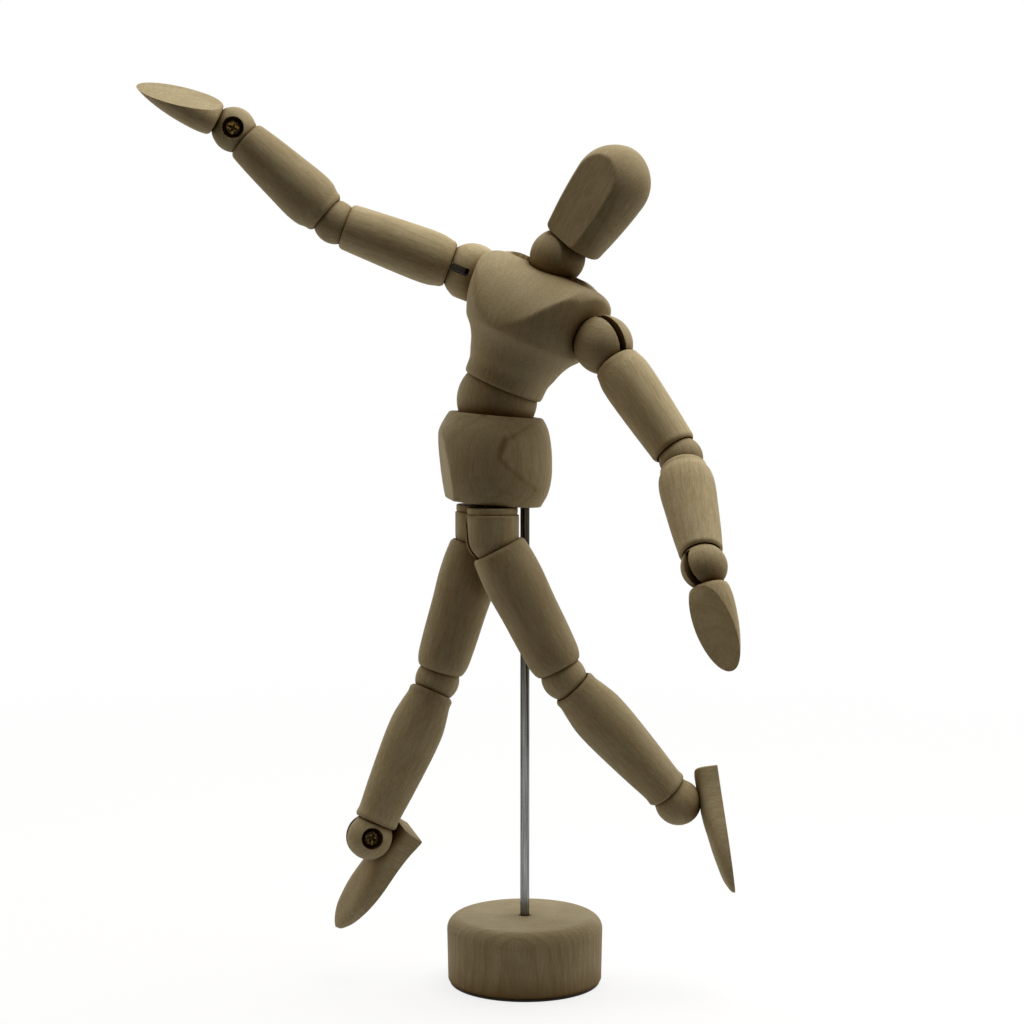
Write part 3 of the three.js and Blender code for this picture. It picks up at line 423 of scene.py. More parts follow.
def solid_profile(outer, step=PROFILE_STEP):
    """Profile of a solid from its outer line, closed on the axis at both ends."""
    profile = [(outer[0][0], 0)]
    profile += straight(profile[0], outer[0])
    profile += smooth_line(outer, step)[1:]
    if outer[-1][1]:
        return profile + straight(outer[-1], (outer[-1][0], 0))
    profile[-1] = outer[-1]
    return profile


def cup_arc(centre, radius, start_height, stop_height, step=PROFILE_STEP):
    """Points of a spherical cup about the axis, from one height to another, as (height, radius)."""
    first = math.acos(max(-1, min(1, (start_height - centre) / radius)))
    last = math.acos(max(-1, min(1, (stop_height - centre) / radius)))
    count = max(2, round(abs(last - first) * radius / step))
    angles = [first + (last - first) * i / count for i in range(count + 1)]
    return [(centre + radius * math.cos(a), radius * math.sin(a)) for a in angles]


def lathe(profile, sides=TURNED_SIDES):
    """Closed surface turned about Z. The profile runs from axis to axis as (height, radius)."""
    points, rings, faces = [], [], []
    turns = [2 * math.pi * i / sides for i in range(sides)]
    for height, radius in profile:
        start = len(points)
        if radius < 1e-4:
            points.append((0, 0, height))
        else:
            points.extend((radius * math.cos(a), radius * math.sin(a), height) for a in turns)
        rings.append(range(start, len(points)))
    for low, high in zip(rings, rings[1:]):
        for i in range(sides):
            j = (i + 1) % sides
            a, b, c, d = low[i % len(low)], low[j % len(low)], high[j % len(high)], high[i % len(high)]
            corners = list(dict.fromkeys((a, b, c, d)))
            if len(corners) > 2:
                faces.append(corners)
    return mesh_object("turned", points, faces)


def placed(made, matrix):
    if matrix:
        made.data.transform(matrix)
    return made


def ball(radius, sides=TURNED_SIDES):
    count = sides // 2
    angles = [math.pi * i / count for i in range(count + 1)]
    return lathe([(-radius * math.cos(a), radius * math.sin(a)) for a in angles], sides)


def cup(radius, matrix=None):
    """Tool that cuts the cup for a ball."""
    return placed(ball(radius + CUP_GAP), matrix)


def pin(radius, low, high, matrix=None, edge=0.0, sides=TOOL_SIDES):
    """Cylinder about Z with slightly broken edges."""
    profile = [(low, 0), (low, radius - edge), (low + edge, radius)]
    profile += [(high - edge, radius), (high, radius - edge), (high, 0)]
    profile = [p for i, p in enumerate(profile) if i == 0 or p != profile[i - 1]]
    return placed(lathe(profile, sides), matrix)


def prism(outline, low, high, matrix=None):
    """Outline in the YZ plane, counterclockwise about X, carried from low to high along X."""
    count = len(outline)
    points = [(x, y, z) for x in (low, high) for y, z in outline]
    faces = [list(range(count))[::-1], [count + i for i in range(count)]]
    faces += [[i, (i + 1) % count, count + (i + 1) % count, count + i] for i in range(count)]
    return placed(mesh_object("prism", points, faces), matrix)


def box(low, high, matrix=None):
    outline = [(low[1], low[2]), (high[1], low[2]), (high[1], high[2]), (low[1], high[2])]
    return prism(outline, low[0], high[0], matrix)


def fan(reach, half, degrees):
    """Sector swept by a rod that swings either way from +Z in the YZ plane."""
    s, c = math.sin(math.radians(degrees)), math.cos(math.radians(degrees))
    return [
        (-half * c, -half * s),
        (half * c, -half * s),
        (reach * s + half * c, reach * c - half * s),
        (0, reach + half),
        (-reach * s - half * c, reach * c - half * s),
    ]


def apply_modifiers(made):
    graph = bpy.context.evaluated_depsgraph_get()
    mesh = bpy.data.meshes.new_from_object(made.evaluated_get(graph))
    made.modifiers.clear()
    old = made.data
    made.data = mesh
    bpy.data.meshes.remove(old)
    return made


def combine(made, operation, tools):
    for tool in tools:
        modifier = made.modifiers.new("combine", "BOOLEAN")
        modifier.operation = operation
        modifier.solver = "MANIFOLD"
        modifier.object = tool
        apply_modifiers(made)
        mesh = tool.data
        bpy.data.objects.remove(tool)
        bpy.data.meshes.remove(mesh)
    return made


def cut(made, *tools):
    return combine(made, "DIFFERENCE", tools)


def join(made, *tools):
    return combine(made, "UNION", tools)


def sand(made):
    """Even fine mesh with lightly rounded edges."""
    remesh = made.modifiers.new("sand", "REMESH")
    remesh.mode = "VOXEL"
    remesh.voxel_size = BALL_VOXEL
    smooth = made.modifiers.new("sand", "SMOOTH")
    smooth.factor = 0.5
    smooth.iterations = 2
    return apply_modifiers(made)


def snap_to_ball(made, radius):
    """Points near the ball's surface go onto it, so that it shades as a true ball."""
    points = points_of(made)
    distance = np.linalg.norm(points, axis=1)
    near = np.abs(distance - radius) < BALL_SNAP
    scale = np.where(near, radius / np.maximum(distance, 1e-6), 1)
    set_points(made, points * scale[:, None])


def soft_cut(distance, soft):
    """Distance from a cutting surface after a cut whose edge is rounded over the width soft."""
    rounded = -((soft - distance) ** 2) / (4 * soft)
    return np.where(distance < -soft, distance, np.where(distance > soft, 0, rounded))


def plane_off(points, place, normal, soft):
    """Presses all points beyond a plane onto it."""
    normal = np.array(Vector(normal).normalized())
    distance = (points - np.array(place)) @ normal
    return points + np.outer(soft_cut(distance, soft) - distance, normal)


# Materials


class Graph:
    """Short names for making nodes. Inputs go by name, or by number as i0, i1 and so on."""

    def __init__(self, tree):
        self.tree = tree

    def link(self, value, socket):
        if isinstance(value, bpy.types.NodeSocket):
            self.tree.links.new(value, socket)
        else:
            socket.default_value = value

    def node(self, kind, settings=None, **inputs):
        made = self.tree.nodes.new("ShaderNode" + kind)
        for key, value in (settings or {}).items():
            setattr(made, key, value)
        for key, value in inputs.items():
            numbered = key[0] == "i" and key[1:].isdigit()
            self.link(value, made.inputs[int(key[1:]) if numbered else key.replace("_", " ")])
        return made

    def math(self, operation, first, second):
        return self.node("Math", {"operation": operation}, i0=first, i1=second).outputs[0]

    def add(self, value, factor, base):
        """value times factor, plus base."""
        settings = {"operation": "MULTIPLY_ADD"}
        return self.node("Math", settings, i0=value, i1=factor, i2=base).outputs[0]

    def attribute(self, name, output="Fac"):
        return self.node("Attribute", {"attribute_name": name}).outputs[output]

    def stretch(self, vector, scale):
        return self.node("Mapping", Vector=vector, Scale=scale).outputs[0]

    def noise(self, vector, scale, detail=2.0, roughness=0.5):
        """Noise at one scale, or at a scale for each axis."""
        if isinstance(scale, tuple):
            vector, scale = self.stretch(vector, scale), 1
        inputs = {"Vector": vector, "Scale": scale, "Detail": detail, "Roughness": roughness}
        return self.node("TexNoise", **inputs).outputs["Fac"]

    def remap(self, value, low, high, out_low=0.0, out_high=1.0, smooth=False):
        settings = {"interpolation_type": "SMOOTHSTEP"} if smooth else {}
        inputs = {"i0": value, "i1": low, "i2": high, "i3": out_low, "i4": out_high}
        return self.node("MapRange", settings, **inputs).outputs[0]

    def mix(self, amount, first, second, blend="MIX"):
        settings = {"data_type": "RGBA", "blend_type": blend}
        return self.node("Mix", settings, i0=amount, i6=first, i7=second).outputs[2]

    def output(self, kind, amount, first, second):
        """Ends the graph with a mix of two shaders."""
        shaders = {"i1": first.outputs[0], "i2": second.outputs[0]}
        mixed = self.node("MixShader", i0=amount, **shaders)
        self.node(kind, Surface=mixed.outputs[0])

    def openness(self, distance):
        """1 on an open surface, less where other surfaces are within distance."""
        return self.node("AmbientOcclusion", {"samples": 8}, Distance=distance).outputs["AO"]

    def finish(self, colour, roughness, height, strength, distance):
        """Colour, roughness and bump of the material's shader."""
        shader = self.tree.nodes["Principled BSDF"]
        self.link(colour, shader.inputs["Base Color"])
        self.link(roughness, shader.inputs["Roughness"])
        bump = self.node("Bump", Height=height, Strength=strength, Distance=distance)
        self.link(bump.outputs[0], shader.inputs["Normal"])
        return shader


def srgb(red, green, blue):
    """Linear colour with alpha from 0-255 screen values."""
    def linear(value):
        value /= 255
        return value / 12.92 if value <= 0.04045 else ((value + 0.055) / 1.055) ** 2.4
    return (linear(red), linear(green), linear(blue), 1)


def new_material(name):
    made = bpy.data.materials.new(name)
    made.use_nodes = True
    return made, Graph(made.node_tree)


WOOD_DARK = srgb(132, 114, 82)
WOOD_MIDDLE = srgb(161, 148, 117)
WOOD_LIGHT = srgb(187, 177, 150)
WOOD_FIGURE = srgb(112, 86, 44)
# Warm brown painted as shade into hollows, also the colour of scratches and nicks; dark brown painted as
# deeper shade in tight hollows.
WOOD_MARK_AND_SHADE = srgb(104, 78, 34)
WOOD_DEEP_SHADE = srgb(40, 27, 12)
RING_SPACING = 2.6


def wood_material():
    """Bare pale hardwood, turned and sanded: faint growth rings, fine straight fibres, painted warm
    brown shade in hollows.
    """
    made, graph = new_material("bare_wood")
    grain = graph.attribute("grain", "Vector")
    mark = graph.attribute("mark")
    wander = graph.noise(grain, (0.035, 0.035, 0.012))
    rings = graph.node(
        "TexWave",
        {"wave_type": "RINGS", "rings_direction": "Z", "wave_profile": "SAW"},
        Vector=graph.stretch(grain, (1, 1, 0.02)),
        Scale=1 / (RING_SPACING * 20) * 6.283,
        Distortion=2.5,
        Detail=2,
        Detail_Scale=0.35,
        Phase_Offset=graph.math("MULTIPLY", wander, 30.0),
    ).outputs["Fac"]
    late = graph.remap(rings, 0.45, 1.0, smooth=True)
    fibres = graph.noise(grain, (2.6, 2.6, 0.11), 3, 0.6)
    threads = graph.noise(grain, (7, 7, 0.5), 2, 0.6)
    speckle = graph.noise(grain, (5, 5, 3.6), 2, 0.7)
    patches = graph.noise(grain, (0.09, 0.09, 0.05))
    tone = -0.35
    for pattern, strength in ((fibres, 0.6), (threads, 0.5), (speckle, 0.5), (patches, 0.35)):
        tone = graph.add(pattern, strength, tone)
    ramp = graph.node("ValToRGB", Fac=graph.remap(tone, 0.3, 0.95))
    stops = ramp.color_ramp.elements
    stops[0].position, stops[0].color = 0.0, WOOD_DARK
    stops[1].position, stops[1].color = 1.0, WOOD_LIGHT
    stops.new(0.5).color = WOOD_MIDDLE
    colour = graph.mix(1.0, ramp.outputs["Color"], graph.attribute("tone"), "MULTIPLY")
    colour = graph.mix(graph.math("MULTIPLY", late, graph.attribute("figure")), colour, WOOD_FIGURE)
    # Painted shade: warm brown where other surfaces lie within 11 mm, dark brown where they close in
    # tightly.
    near = graph.openness(0.011)
    colour = graph.mix(graph.remap(near, 0.45, 0.97, 0.8, 0.0), colour, WOOD_MARK_AND_SHADE)
    colour = graph.mix(graph.remap(near, 0.08, 0.4, 0.85, 0.0), colour, WOOD_DEEP_SHADE)
    # Scratches, nicks and streaks take the same warm brown.
    colour = graph.mix(mark, colour, WOOD_MARK_AND_SHADE)
    height = graph.add(mark, -0.8, graph.add(fibres, 0.5, graph.math("MULTIPLY", threads, 0.5)))
    shader = graph.finish(colour, graph.remap(fibres, 0.3, 0.7, 0.55, 0.7), height, 0.4, 0.00014)
    shader.inputs["Specular IOR Level"].default_value = 0.03
    return made


def steel_material():
    """Drawn steel wire, with a painted dark brown reflection higher up, pale steel towards the base, and
    painted shade where it is shut in.
    """
    made, graph = new_material("drawn_steel")
    place = graph.node("TexCoord").outputs["Object"]
    drawn = graph.noise(place, (2600, 2600, 60), 3)
    stain = graph.noise(place, (120, 120, 45), 3, 0.6)
    # Painted reflection: the steel turns dark brown higher up and stays pale grey lower down.
    height = graph.node("SeparateXYZ", Vector=place).outputs["Z"]
    painted_dark_reflection = graph.remap(graph.add(stain, 0.03, height), 0.085, 0.16, smooth=True)
    colour = graph.mix(painted_dark_reflection, srgb(142, 144, 142), srgb(62, 55, 44))
    colour = graph.mix(graph.remap(drawn, 0.35, 0.65, 0.0, 0.6), colour, srgb(46, 42, 34))
    # Painted shade: near black where other surfaces close in within 3 mm.
    painted_shade = graph.remap(graph.openness(0.003), 0.3, 0.85, 0.92, 0.0)
    colour = graph.mix(painted_shade, colour, srgb(20, 16, 13))
    shader = graph.finish(colour, graph.remap(drawn, 0.3, 0.7, 0.16, 0.3), drawn, 0.2, 0.00003)
    shader.inputs["Metallic"].default_value = 1
    return made


def brass_material():
    """Dull brass-plated screw: painted dark for the shade in its recess, with painted glints, and darker
    painted shade deep in the recess.
    """
    made, graph = new_material("brass_plate")
    place = graph.node("TexCoord").outputs["Object"]
    cloud = graph.noise(place, 900, 3, 0.6)
    # Painted shade and highlights: mostly dark brass for the shade of the recess, with painted glints of
    # bright brass in scattered patches.
    colour = graph.mix(graph.remap(cloud, 0.52, 0.66), srgb(36, 27, 16), srgb(118, 92, 46))
    # Painted shade: near black where the recess closes in within 3 mm.
    painted_shade = graph.remap(graph.openness(0.003), 0.25, 0.85, 0.95, 0.0)
    colour = graph.mix(painted_shade, colour, srgb(24, 17, 9))
    shader = graph.finish(colour, graph.remap(cloud, 0.3, 0.7, 0.25, 0.5), cloud, 0.3, 0.0001)
    shader.inputs["Metallic"].default_value = 1
    return made


def felt_material():
    """Dark pressed felt."""
    made, graph = new_material("dark_felt")
    place = graph.node("TexCoord").outputs["Object"]
    hairs = graph.noise(place, 2200, 4, 0.7)
    cloud = graph.noise(place, 260)
    colour = graph.mix(graph.remap(hairs, 0.3, 0.7), srgb(32, 27, 21), srgb(66, 57, 46))
    colour = graph.mix(graph.remap(cloud, 0.35, 0.65, 0.0, 0.4), colour, srgb(44, 40, 36))
    shader = graph.finish(colour, 0.95, hairs, 0.6, 0.0003)
    shader.inputs["Sheen Weight"].default_value = 0.3
    return made


MATERIALS = {
    "wood": wood_material(),
    "steel": steel_material(),
    "brass": brass_material(),
    "felt": felt_material(),
}


def add_grain(made, name, pith=None):
    """Where each point lies in the wood, in mm: Z along the fibres, the pith at the origin."""
    chance = random.Random(name)
    if pith is None:
        turn = chance.uniform(0, 2 * math.pi)
        reach = chance.uniform(18, 55)
        pith = (reach * math.cos(turn), reach * math.sin(turn))
    offset = np.array([pith[0], pith[1], chance.uniform(-4000, 4000)])
    lean_x, lean_y = chance.uniform(-0.05, 0.05), chance.uniform(-0.05, 0.05)
    lean = Matrix.Rotation(lean_x, 3, "X") @ Matrix.Rotation(lean_y, 3, "Y")
    points = points_of(made) @ np.array(lean) + offset
    attribute = made.data.attributes.new("grain", "FLOAT_VECTOR", "POINT")
    attribute.data.foreach_set("vector", points.astype(np.float32).ravel())


def add_value(made, name, values):
    attribute = made.data.attributes.new(name, "FLOAT", "POINT")
    attribute.data.foreach_set("value", np.asarray(values, np.float32))


def mark_depth(points, marks):
    """How deep each point lies in the scratches, nicks and streaks, from 0 to 1."""
    depth = np.zeros(len(points))
    for path, parts in marks:
        for start, stop, (width, strength) in zip(path, path[1:], parts):
            start = np.array(start)
            along = np.array(stop) - start
            share = np.clip((points - start) @ along / (along @ along), 0, 1)
            distance = np.linalg.norm(points - start - share[:, None] * along, axis=1)
            depth = np.maximum(depth, strength * np.clip(1 - distance / width, 0, 1))
    return depth


def dress(node, made, matrix, slot, pith=None):
    """Places a finished mesh as the visible form of a node."""
    if slot == "wood":
        add_grain(made, node, pith)
    made.data.transform(matrix)
    if slot == "wood":
        points = points_of(made)
        add_value(made, "mark", mark_depth(points, MARKS.get(node, ())))
        add_value(made, "tone", np.full(len(points), TONE.get(node, PLAIN_TONE)))
        add_value(made, "figure", np.full(len(points), FIGURE.get(node, PLAIN_FIGURE)))
    made.name = node + "_fine"
    made.data.name = made.name
    made.data.transform(Matrix.Scale(MM, 4))
    made.data.materials.clear()
    made.data.materials.append(MATERIALS[slot])
    made.data.shade_smooth()
    made.data.set_sharp_from_angle(angle=SHARP_ANGLE)
    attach(made, BODY_OF[node])
    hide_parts(node)


# Stand


def build_stand():
    low = PAD_THICKNESS + GAP
    foot_radius = BASE_RADIUS - BASE_TAPER
    bore = ROD_RADIUS + GAP / 2
    angles = [math.pi / 2 * i / ARC_STEPS for i in range(ARC_STEPS + 1)]
    low_edge, inner_edge = BASE_HEIGHT - BASE_EDGE_RADIUS, BASE_RADIUS - BASE_EDGE_RADIUS
    edge = [
        (low_edge + BASE_EDGE_RADIUS * math.sin(a), inner_edge + BASE_EDGE_RADIUS * math.cos(a))
        for a in angles
    ]
    profile = [(low, 0)]
    profile += straight((low, 0), (low, foot_radius - 0.5), 2)
    profile += [(low + 0.12, foot_radius - 0.15), (low + 0.5, foot_radius)]
    profile += straight((low + 0.5, foot_radius), edge[0], 1)
    profile += edge[1:]
    profile += straight(edge[-1], (BASE_HEIGHT, bore + 0.3), 1)
    profile += [(BASE_HEIGHT - 0.3, bore), (ROD_BOTTOM - GAP, bore), (ROD_BOTTOM - GAP, 0)]
    dress("base", lathe(profile, BODY_SIDES), Matrix(), "wood", pith=(14, 95))
    pad = pin(PAD_RADIUS, 0, PAD_THICKNESS, edge=0.25, sides=BODY_SIDES)
    dress("base_pad", pad, Matrix(), "felt")
    dress("rod", pin(ROD_RADIUS, ROD_BOTTOM, ROD_TOP, edge=0.3), Matrix(), "steel")


# Body joints, pelvis, torso and head


def rim_radius(ball_radius, plane):
    """Radius of a rim that a plane cuts round a ball."""
    return math.sqrt((ball_radius + GAP) ** 2 - plane**2) + RIM_WALL


def tongue_mesh(radius, reach):
    """Flat eye about the X axis with a round shank along +Z."""
    eye = pin(EYE_RADIUS, -TONGUE_HALF, TONGUE_HALF, CROSSWISE, edge=PLATE_EDGE)
    bar_end = (TONGUE_HALF, TONGUE_BAR_HALF, radius - BAR_SHORT)
    bar = box((-TONGUE_HALF, -TONGUE_BAR_HALF, 0), bar_end)
    shank = pin(TONGUE_HALF, radius - SHANK_ROOT, reach, edge=0.1, sides=ROD_SIDES)
    hole = pin(SCREW_RADIUS + GAP / 2, -OVERCUT, OVERCUT, CROSSWISE)
    return cut(join(eye, bar, shank), hole)


def body_joint(name, centre, dowel_axis, next_axis, radius, dowel_length, bend):
    """Ball with a hidden slot towards the next piece, its pin, and the tongue that swings on it."""
    hinge = dowel_axis.cross(next_axis).normalized()
    pin_half = radius * PIN_SHARE
    root = -radius * DOWEL_ROOT_SHARE
    dowel = pin(DOWEL_RADIUS, -radius - dowel_length, root, edge=DOWEL_EDGE)
    solid = join(ball(radius, BODY_SIDES), dowel)
    cut(
        solid,
        prism(fan(radius + FAN_OVERCUT, TONGUE_BAR_HALF + GAP, bend), -SLOT_HALF, SLOT_HALF),
        pin(EYE_RADIUS + GAP, -SLOT_HALF, SLOT_HALF, CROSSWISE),
        pin(SCREW_RADIUS + GAP, -pin_half - GAP, pin_half + GAP, CROSSWISE),
    )
    place = frame_at(centre, dowel_axis, hinge)
    dress(name + "_ball", solid, place, "wood")
    cross_pin = pin(SCREW_RADIUS, -pin_half, pin_half, CROSSWISE, edge=WIRE_EDGE)
    dress(name + "_pin", cross_pin, place, "steel")
    tongue = tongue_mesh(radius, radius + SHANK_DEPTH)
    dress(name + "_tongue", tongue, frame_at(centre, next_axis, hinge), "steel")


def build_pelvis():
    centre = Vector(PELVIS_CENTRE)
    waist = joint_place("waist_swivel")
    barrel = [(height, share * PELVIS_RADIUS) for height, share in PELVIS_BARREL]
    made = lathe(solid_profile(barrel), BODY_SIDES)
    points = points_of(made)
    face = Vector((math.sin(PELVIS_FACE_SLOPE), 0, math.cos(PELVIS_FACE_SLOPE)))
    front = Vector(PELVIS_FRONT).normalized() * math.cos(PELVIS_FLAT_TILT)
    front -= UP * math.sin(PELVIS_FLAT_TILT)
    points = plane_off(points, front * PELVIS_FLAT_OFFSET, front, PELVIS_FLAT_EDGE)
    points = plane_off(points, (0, 0, PELVIS_HALF_UP), face, PLANED_EDGE)
    points = plane_off(points, (0, 0, -PELVIS_HALF_DOWN), -face, PLANED_EDGE)
    set_points(made, points)
    at_waist = Matrix.Translation(waist - centre)
    rod_top = ROD_TOP + GAP - centre.z
    rod_place = Matrix.Translation((-centre.x, -centre.y, 0))
    tools = [
        cup(WAIST_BALL_RADIUS, at_waist),
        pin(DOWEL_RADIUS + GAP, -WAIST_BALL_RADIUS - WAIST_DOWEL - GAP, 0, at_waist),
        pin(ROD_RADIUS + GAP, -BLOCK, rod_top, rod_place),
    ]
    for side in SIDES:
        at_hip = Matrix.Translation(joint_place(side + "_hip_swivel") - centre)
        post_top = HIP_COLLAR_TOP + HIP_POST_LENGTH + GAP
        tools.append(pin(DOWEL_RADIUS + GAP, 0, post_top, at_hip))
    cut(made, *tools)
    dress("pelvis", made, frame_at(centre, UP, ACROSS), "wood", pith=(-6, -34))


def torso_profile():
    low, top = TORSO_WAIST_PLANE, TORSO_LENGTH - TORSO_TOP_PLANE
    rib_height, rib, chest = TORSO_RIB_HEIGHT, TORSO_RIB_RADIUS, TORSO_CHEST_RADIUS
    waist = rim_radius(WAIST_BALL_RADIUS, low) + 0.6
    hollow = WAIST_BALL_RADIUS + CUP_GAP
    bore = TONGUE_HALF + GAP
    bore_top = WAIST_BALL_RADIUS + SHANK_DEPTH + GAP
    inner = math.sqrt(hollow**2 - low**2)
    outer = [
        (low + 0.05, inner + 0.2), (low, waist - 0.7), (low + 0.3, waist - 0.25), (low + 1, waist),
        (11, waist + 0.3), (14.5, waist + 1.5), (18.5, waist + 2.9), (22, waist + 4.9),
        (rib_height - 0.8, rib - 0.5), (rib_height, rib + 0.05), (28, rib + 1.1),
        (32, chest - 0.9), (38, chest), (46, chest), (48, chest - 0.9), (50, chest - 2.6),
        (51.7, chest - 5.5), (top - 0.5, chest - 9), (top, chest - 11.5),
    ]
    start = math.sqrt(hollow**2 - bore**2)
    profile = [(bore_top, 0), (bore_top, bore)]
    profile += straight((bore_top, bore), (start, bore), 2)
    profile += cup_arc(0, hollow, start, low + 0.25)[1:]
    profile += smooth_line(outer)
    profile += straight(outer[-1], (top, 0))
    return profile


def round_chest(points):
    """Front and back of the chest: upright up to the arc's start, then over it to the shoulders."""
    y, z = points[:, 1], points[:, 2]
    middle = CHEST_DEPTH - CHEST_ARC_RADIUS
    rise = np.maximum(z - CHEST_ARC_START, 0) / CHEST_ARC_STRETCH
    away = np.maximum(np.abs(y) - middle, 0)
    reach = np.hypot(away, rise)
    moved = soft_cut(reach - CHEST_ARC_RADIUS, CHEST_EDGE) + CHEST_ARC_RADIUS
    scale = np.where(away > 0, moved / np.maximum(reach, 1e-6), 1)
    planed = (z > TORSO_PLANED_FROM) & (away > 0)
    made = points.copy()
    made[:, 1] = np.where(planed, np.sign(y) * (middle + away * scale), y)
    raised = CHEST_ARC_START + rise * scale * CHEST_ARC_STRETCH
    made[:, 2] = np.where(planed & (z > CHEST_ARC_START), raised, z)
    return made


def build_torso():
    waist = joint_place("waist_swivel")
    neck = joint_place("neck_swivel")
    axis = (neck - waist).normalized()
    shoulders = {side: joint_place(side + "_shoulder_swivel") for side in SIDES}
    left = across(shoulders["left"] - shoulders["right"], axis)
    body_joint("waist", waist, UP, axis, WAIST_BALL_RADIUS, WAIST_DOWEL, WAIST_BEND)
    place = frame_at(waist, axis, left)
    made = lathe(torso_profile(), BODY_SIDES)
    points = round_chest(points_of(made))
    outer = points[:, 2] > TORSO_PLANED_FROM
    for sign in (1, -1):
        pressed = plane_off(points, (sign * TORSO_SIDE_OFFSET, 0, 0), (sign, 0, 0), PLANED_EDGE)
        points = np.where(outer[:, None], pressed, points)
    set_points(made, points)
    dowel_end = TORSO_LENGTH - NECK_BALL_RADIUS - NECK_DOWEL - GAP
    tools = [
        cup(NECK_BALL_RADIUS, Matrix.Translation((0, 0, TORSO_LENGTH))),
        pin(DOWEL_RADIUS + GAP, dowel_end, TORSO_LENGTH),
    ]
    for side in SIDES:
        outward = left if side == "left" else -left
        radius = SHOULDER_BALL_RADIUS * ARM_SHARE[side]
        tool = place.inverted() @ frame_at(shoulders[side], outward, axis)
        dowel = pin(DOWEL_RADIUS + GAP, -radius - SHOULDER_DOWEL - GAP, 0, tool)
        tools += [cup(radius, tool), dowel]
    cut(made, *tools)
    dress("torso", made, place, "wood", pith=(30, 22))
    return axis, left, shoulders


def build_head(torso_axis):
    neck = joint_place("neck_swivel")
    axis = joint_axis("neck_twist", UP)
    front = across(HEAD_FRONT, axis)
    left = axis.cross(front)
    body_joint("neck", neck, torso_axis, axis, NECK_BALL_RADIUS, NECK_DOWEL, NECK_BEND)
    chin = max(rim_radius(NECK_BALL_RADIUS, HEAD_CHIN_PLANE) + HEAD_SIDE_SHIFT, HEAD_RADIUS * 0.765)
    outer = [(HEAD_CHIN_PLANE, chin - 0.6), (HEAD_CHIN_PLANE + 0.35, chin)]
    outer.append((HEAD_CHIN_PLANE + 1, HEAD_RADIUS * 0.81))
    outer += [(height, share * HEAD_RADIUS) for height, share in HEAD_SHAPE]
    outer += [(HEAD_TOP - 0.12, HEAD_RADIUS * 0.15), (HEAD_TOP, 0)]
    made = lathe(solid_profile(outer), BODY_SIDES)
    points = points_of(made) + np.array([HEAD_SIDE_SHIFT, 0, 0])
    points = plane_off(points, (0, -FACE_OFFSET, HEAD_CHIN_PLANE), (0, -1, -FACE_SLOPE), FACE_EDGE)
    set_points(made, points)
    bore = pin(TONGUE_HALF + GAP, 0, NECK_BALL_RADIUS + SHANK_DEPTH + GAP)
    cut(made, cup(NECK_BALL_RADIUS), bore)
    dress("head", made, frame_at(neck, axis, left), "wood", pith=(-26, 14))


# Slotted balls


def slotted_joint(name, radius, outward, next_axis, dowel, shank=SHANK_DEPTH, hip=False):
    """Slotted ball, its screw and its tongue. A hip has a post and collar in place of the ball."""
    centre = joint_place(name + "_swivel")
    hinge = joint_axis(name + "_bend", SCREW[name])
    place = frame_at(centre, outward, hinge)
    back = place.inverted()
    slot_place = back @ frame_at(centre, hinge, outward)
    hole_place = back @ frame_at(centre, hinge, next_axis)
    floor = radius - COUNTERBORE_DEPTH
    tip = radius * SCREW_TIP_SHARE
    start = HIP_COLLAR_TOP if hip else radius
    depth = SLOT_DEPTH[name.split("_")[1]]
    solid = hip_shape() if hip else ball(radius)
    join(solid, pin(DOWEL_RADIUS, -start - dowel, -start + 1.5, edge=DOWEL_EDGE))
    past = radius + OVERCUT
    cut(
        solid,
        box((-depth, -past, -SLOT_HALF), (past, past, SLOT_HALF), slot_place),
        pin(COUNTERBORE_RADIUS, floor, past, hole_place),
        pin(SCREW_RADIUS + GAP, -tip - GAP, floor + 1, hole_place),
    )
    sand(solid)
    if not hip:
        snap_to_ball(solid, radius)
    dress(name + "_ball", solid, place, "wood")
    dress(name + "_screw", screw_mesh(floor + GAP, tip, hole_place), place, "brass")
    tongue = tongue_mesh(radius, radius + shank)
    dress(name + "_tongue", tongue, frame_at(centre, next_axis, hinge), "steel")


def screw_mesh(head_low, tip, matrix):
    head_high = head_low + SCREW_HEAD_HEIGHT
    dome = [
        (head_low + 0.15, SCREW_HEAD_RADIUS),
        (head_high - 0.75, SCREW_HEAD_RADIUS),
        (head_high - 0.45, SCREW_HEAD_RADIUS * 0.93),
        (head_high - 0.15, SCREW_HEAD_RADIUS * 0.72),
        (head_high, SCREW_HEAD_RADIUS * 0.4),
        (head_high, 0),
    ]
    profile = [(-tip, 0), (-tip + 0.1, SCREW_RADIUS * 0.4), (-tip + 1.2, SCREW_RADIUS)]
    profile += [(head_low, SCREW_RADIUS), (head_low, SCREW_HEAD_RADIUS - 0.15)]
    profile += smooth_line(dome, 0.3)
    profile[-1] = (head_high, 0)
    made = lathe(profile, TOOL_SIDES)
    floor, top = head_high - CROSS_DEPTH, head_high + 0.5
    outline = [(-0.9, floor), (0.9, floor), (1.75, top), (-1.75, top)]
    for turn in (0, math.pi / 2):
        cut(made, prism(outline, -CROSS_HALF, CROSS_HALF, Matrix.Rotation(turn, 4, "Z")))
    return placed(made, matrix)


# Limbs


def limb_rim(plane, ball_radius, height, inward, swell):
    """Outer line of a limb's end, from the lip of its cup inward along the limb."""
    inner = math.sqrt((ball_radius + CUP_GAP) ** 2 - height**2)
    rim = rim_radius(ball_radius, height)
    return [
        (plane + inward * 0.06, (inner + rim) / 2 - 0.12),
        (plane, (inner + rim) / 2 + 0.06),
        (plane + inward * 0.25, rim + swell[0]),
        (plane + inward, rim + swell[1]),
    ]


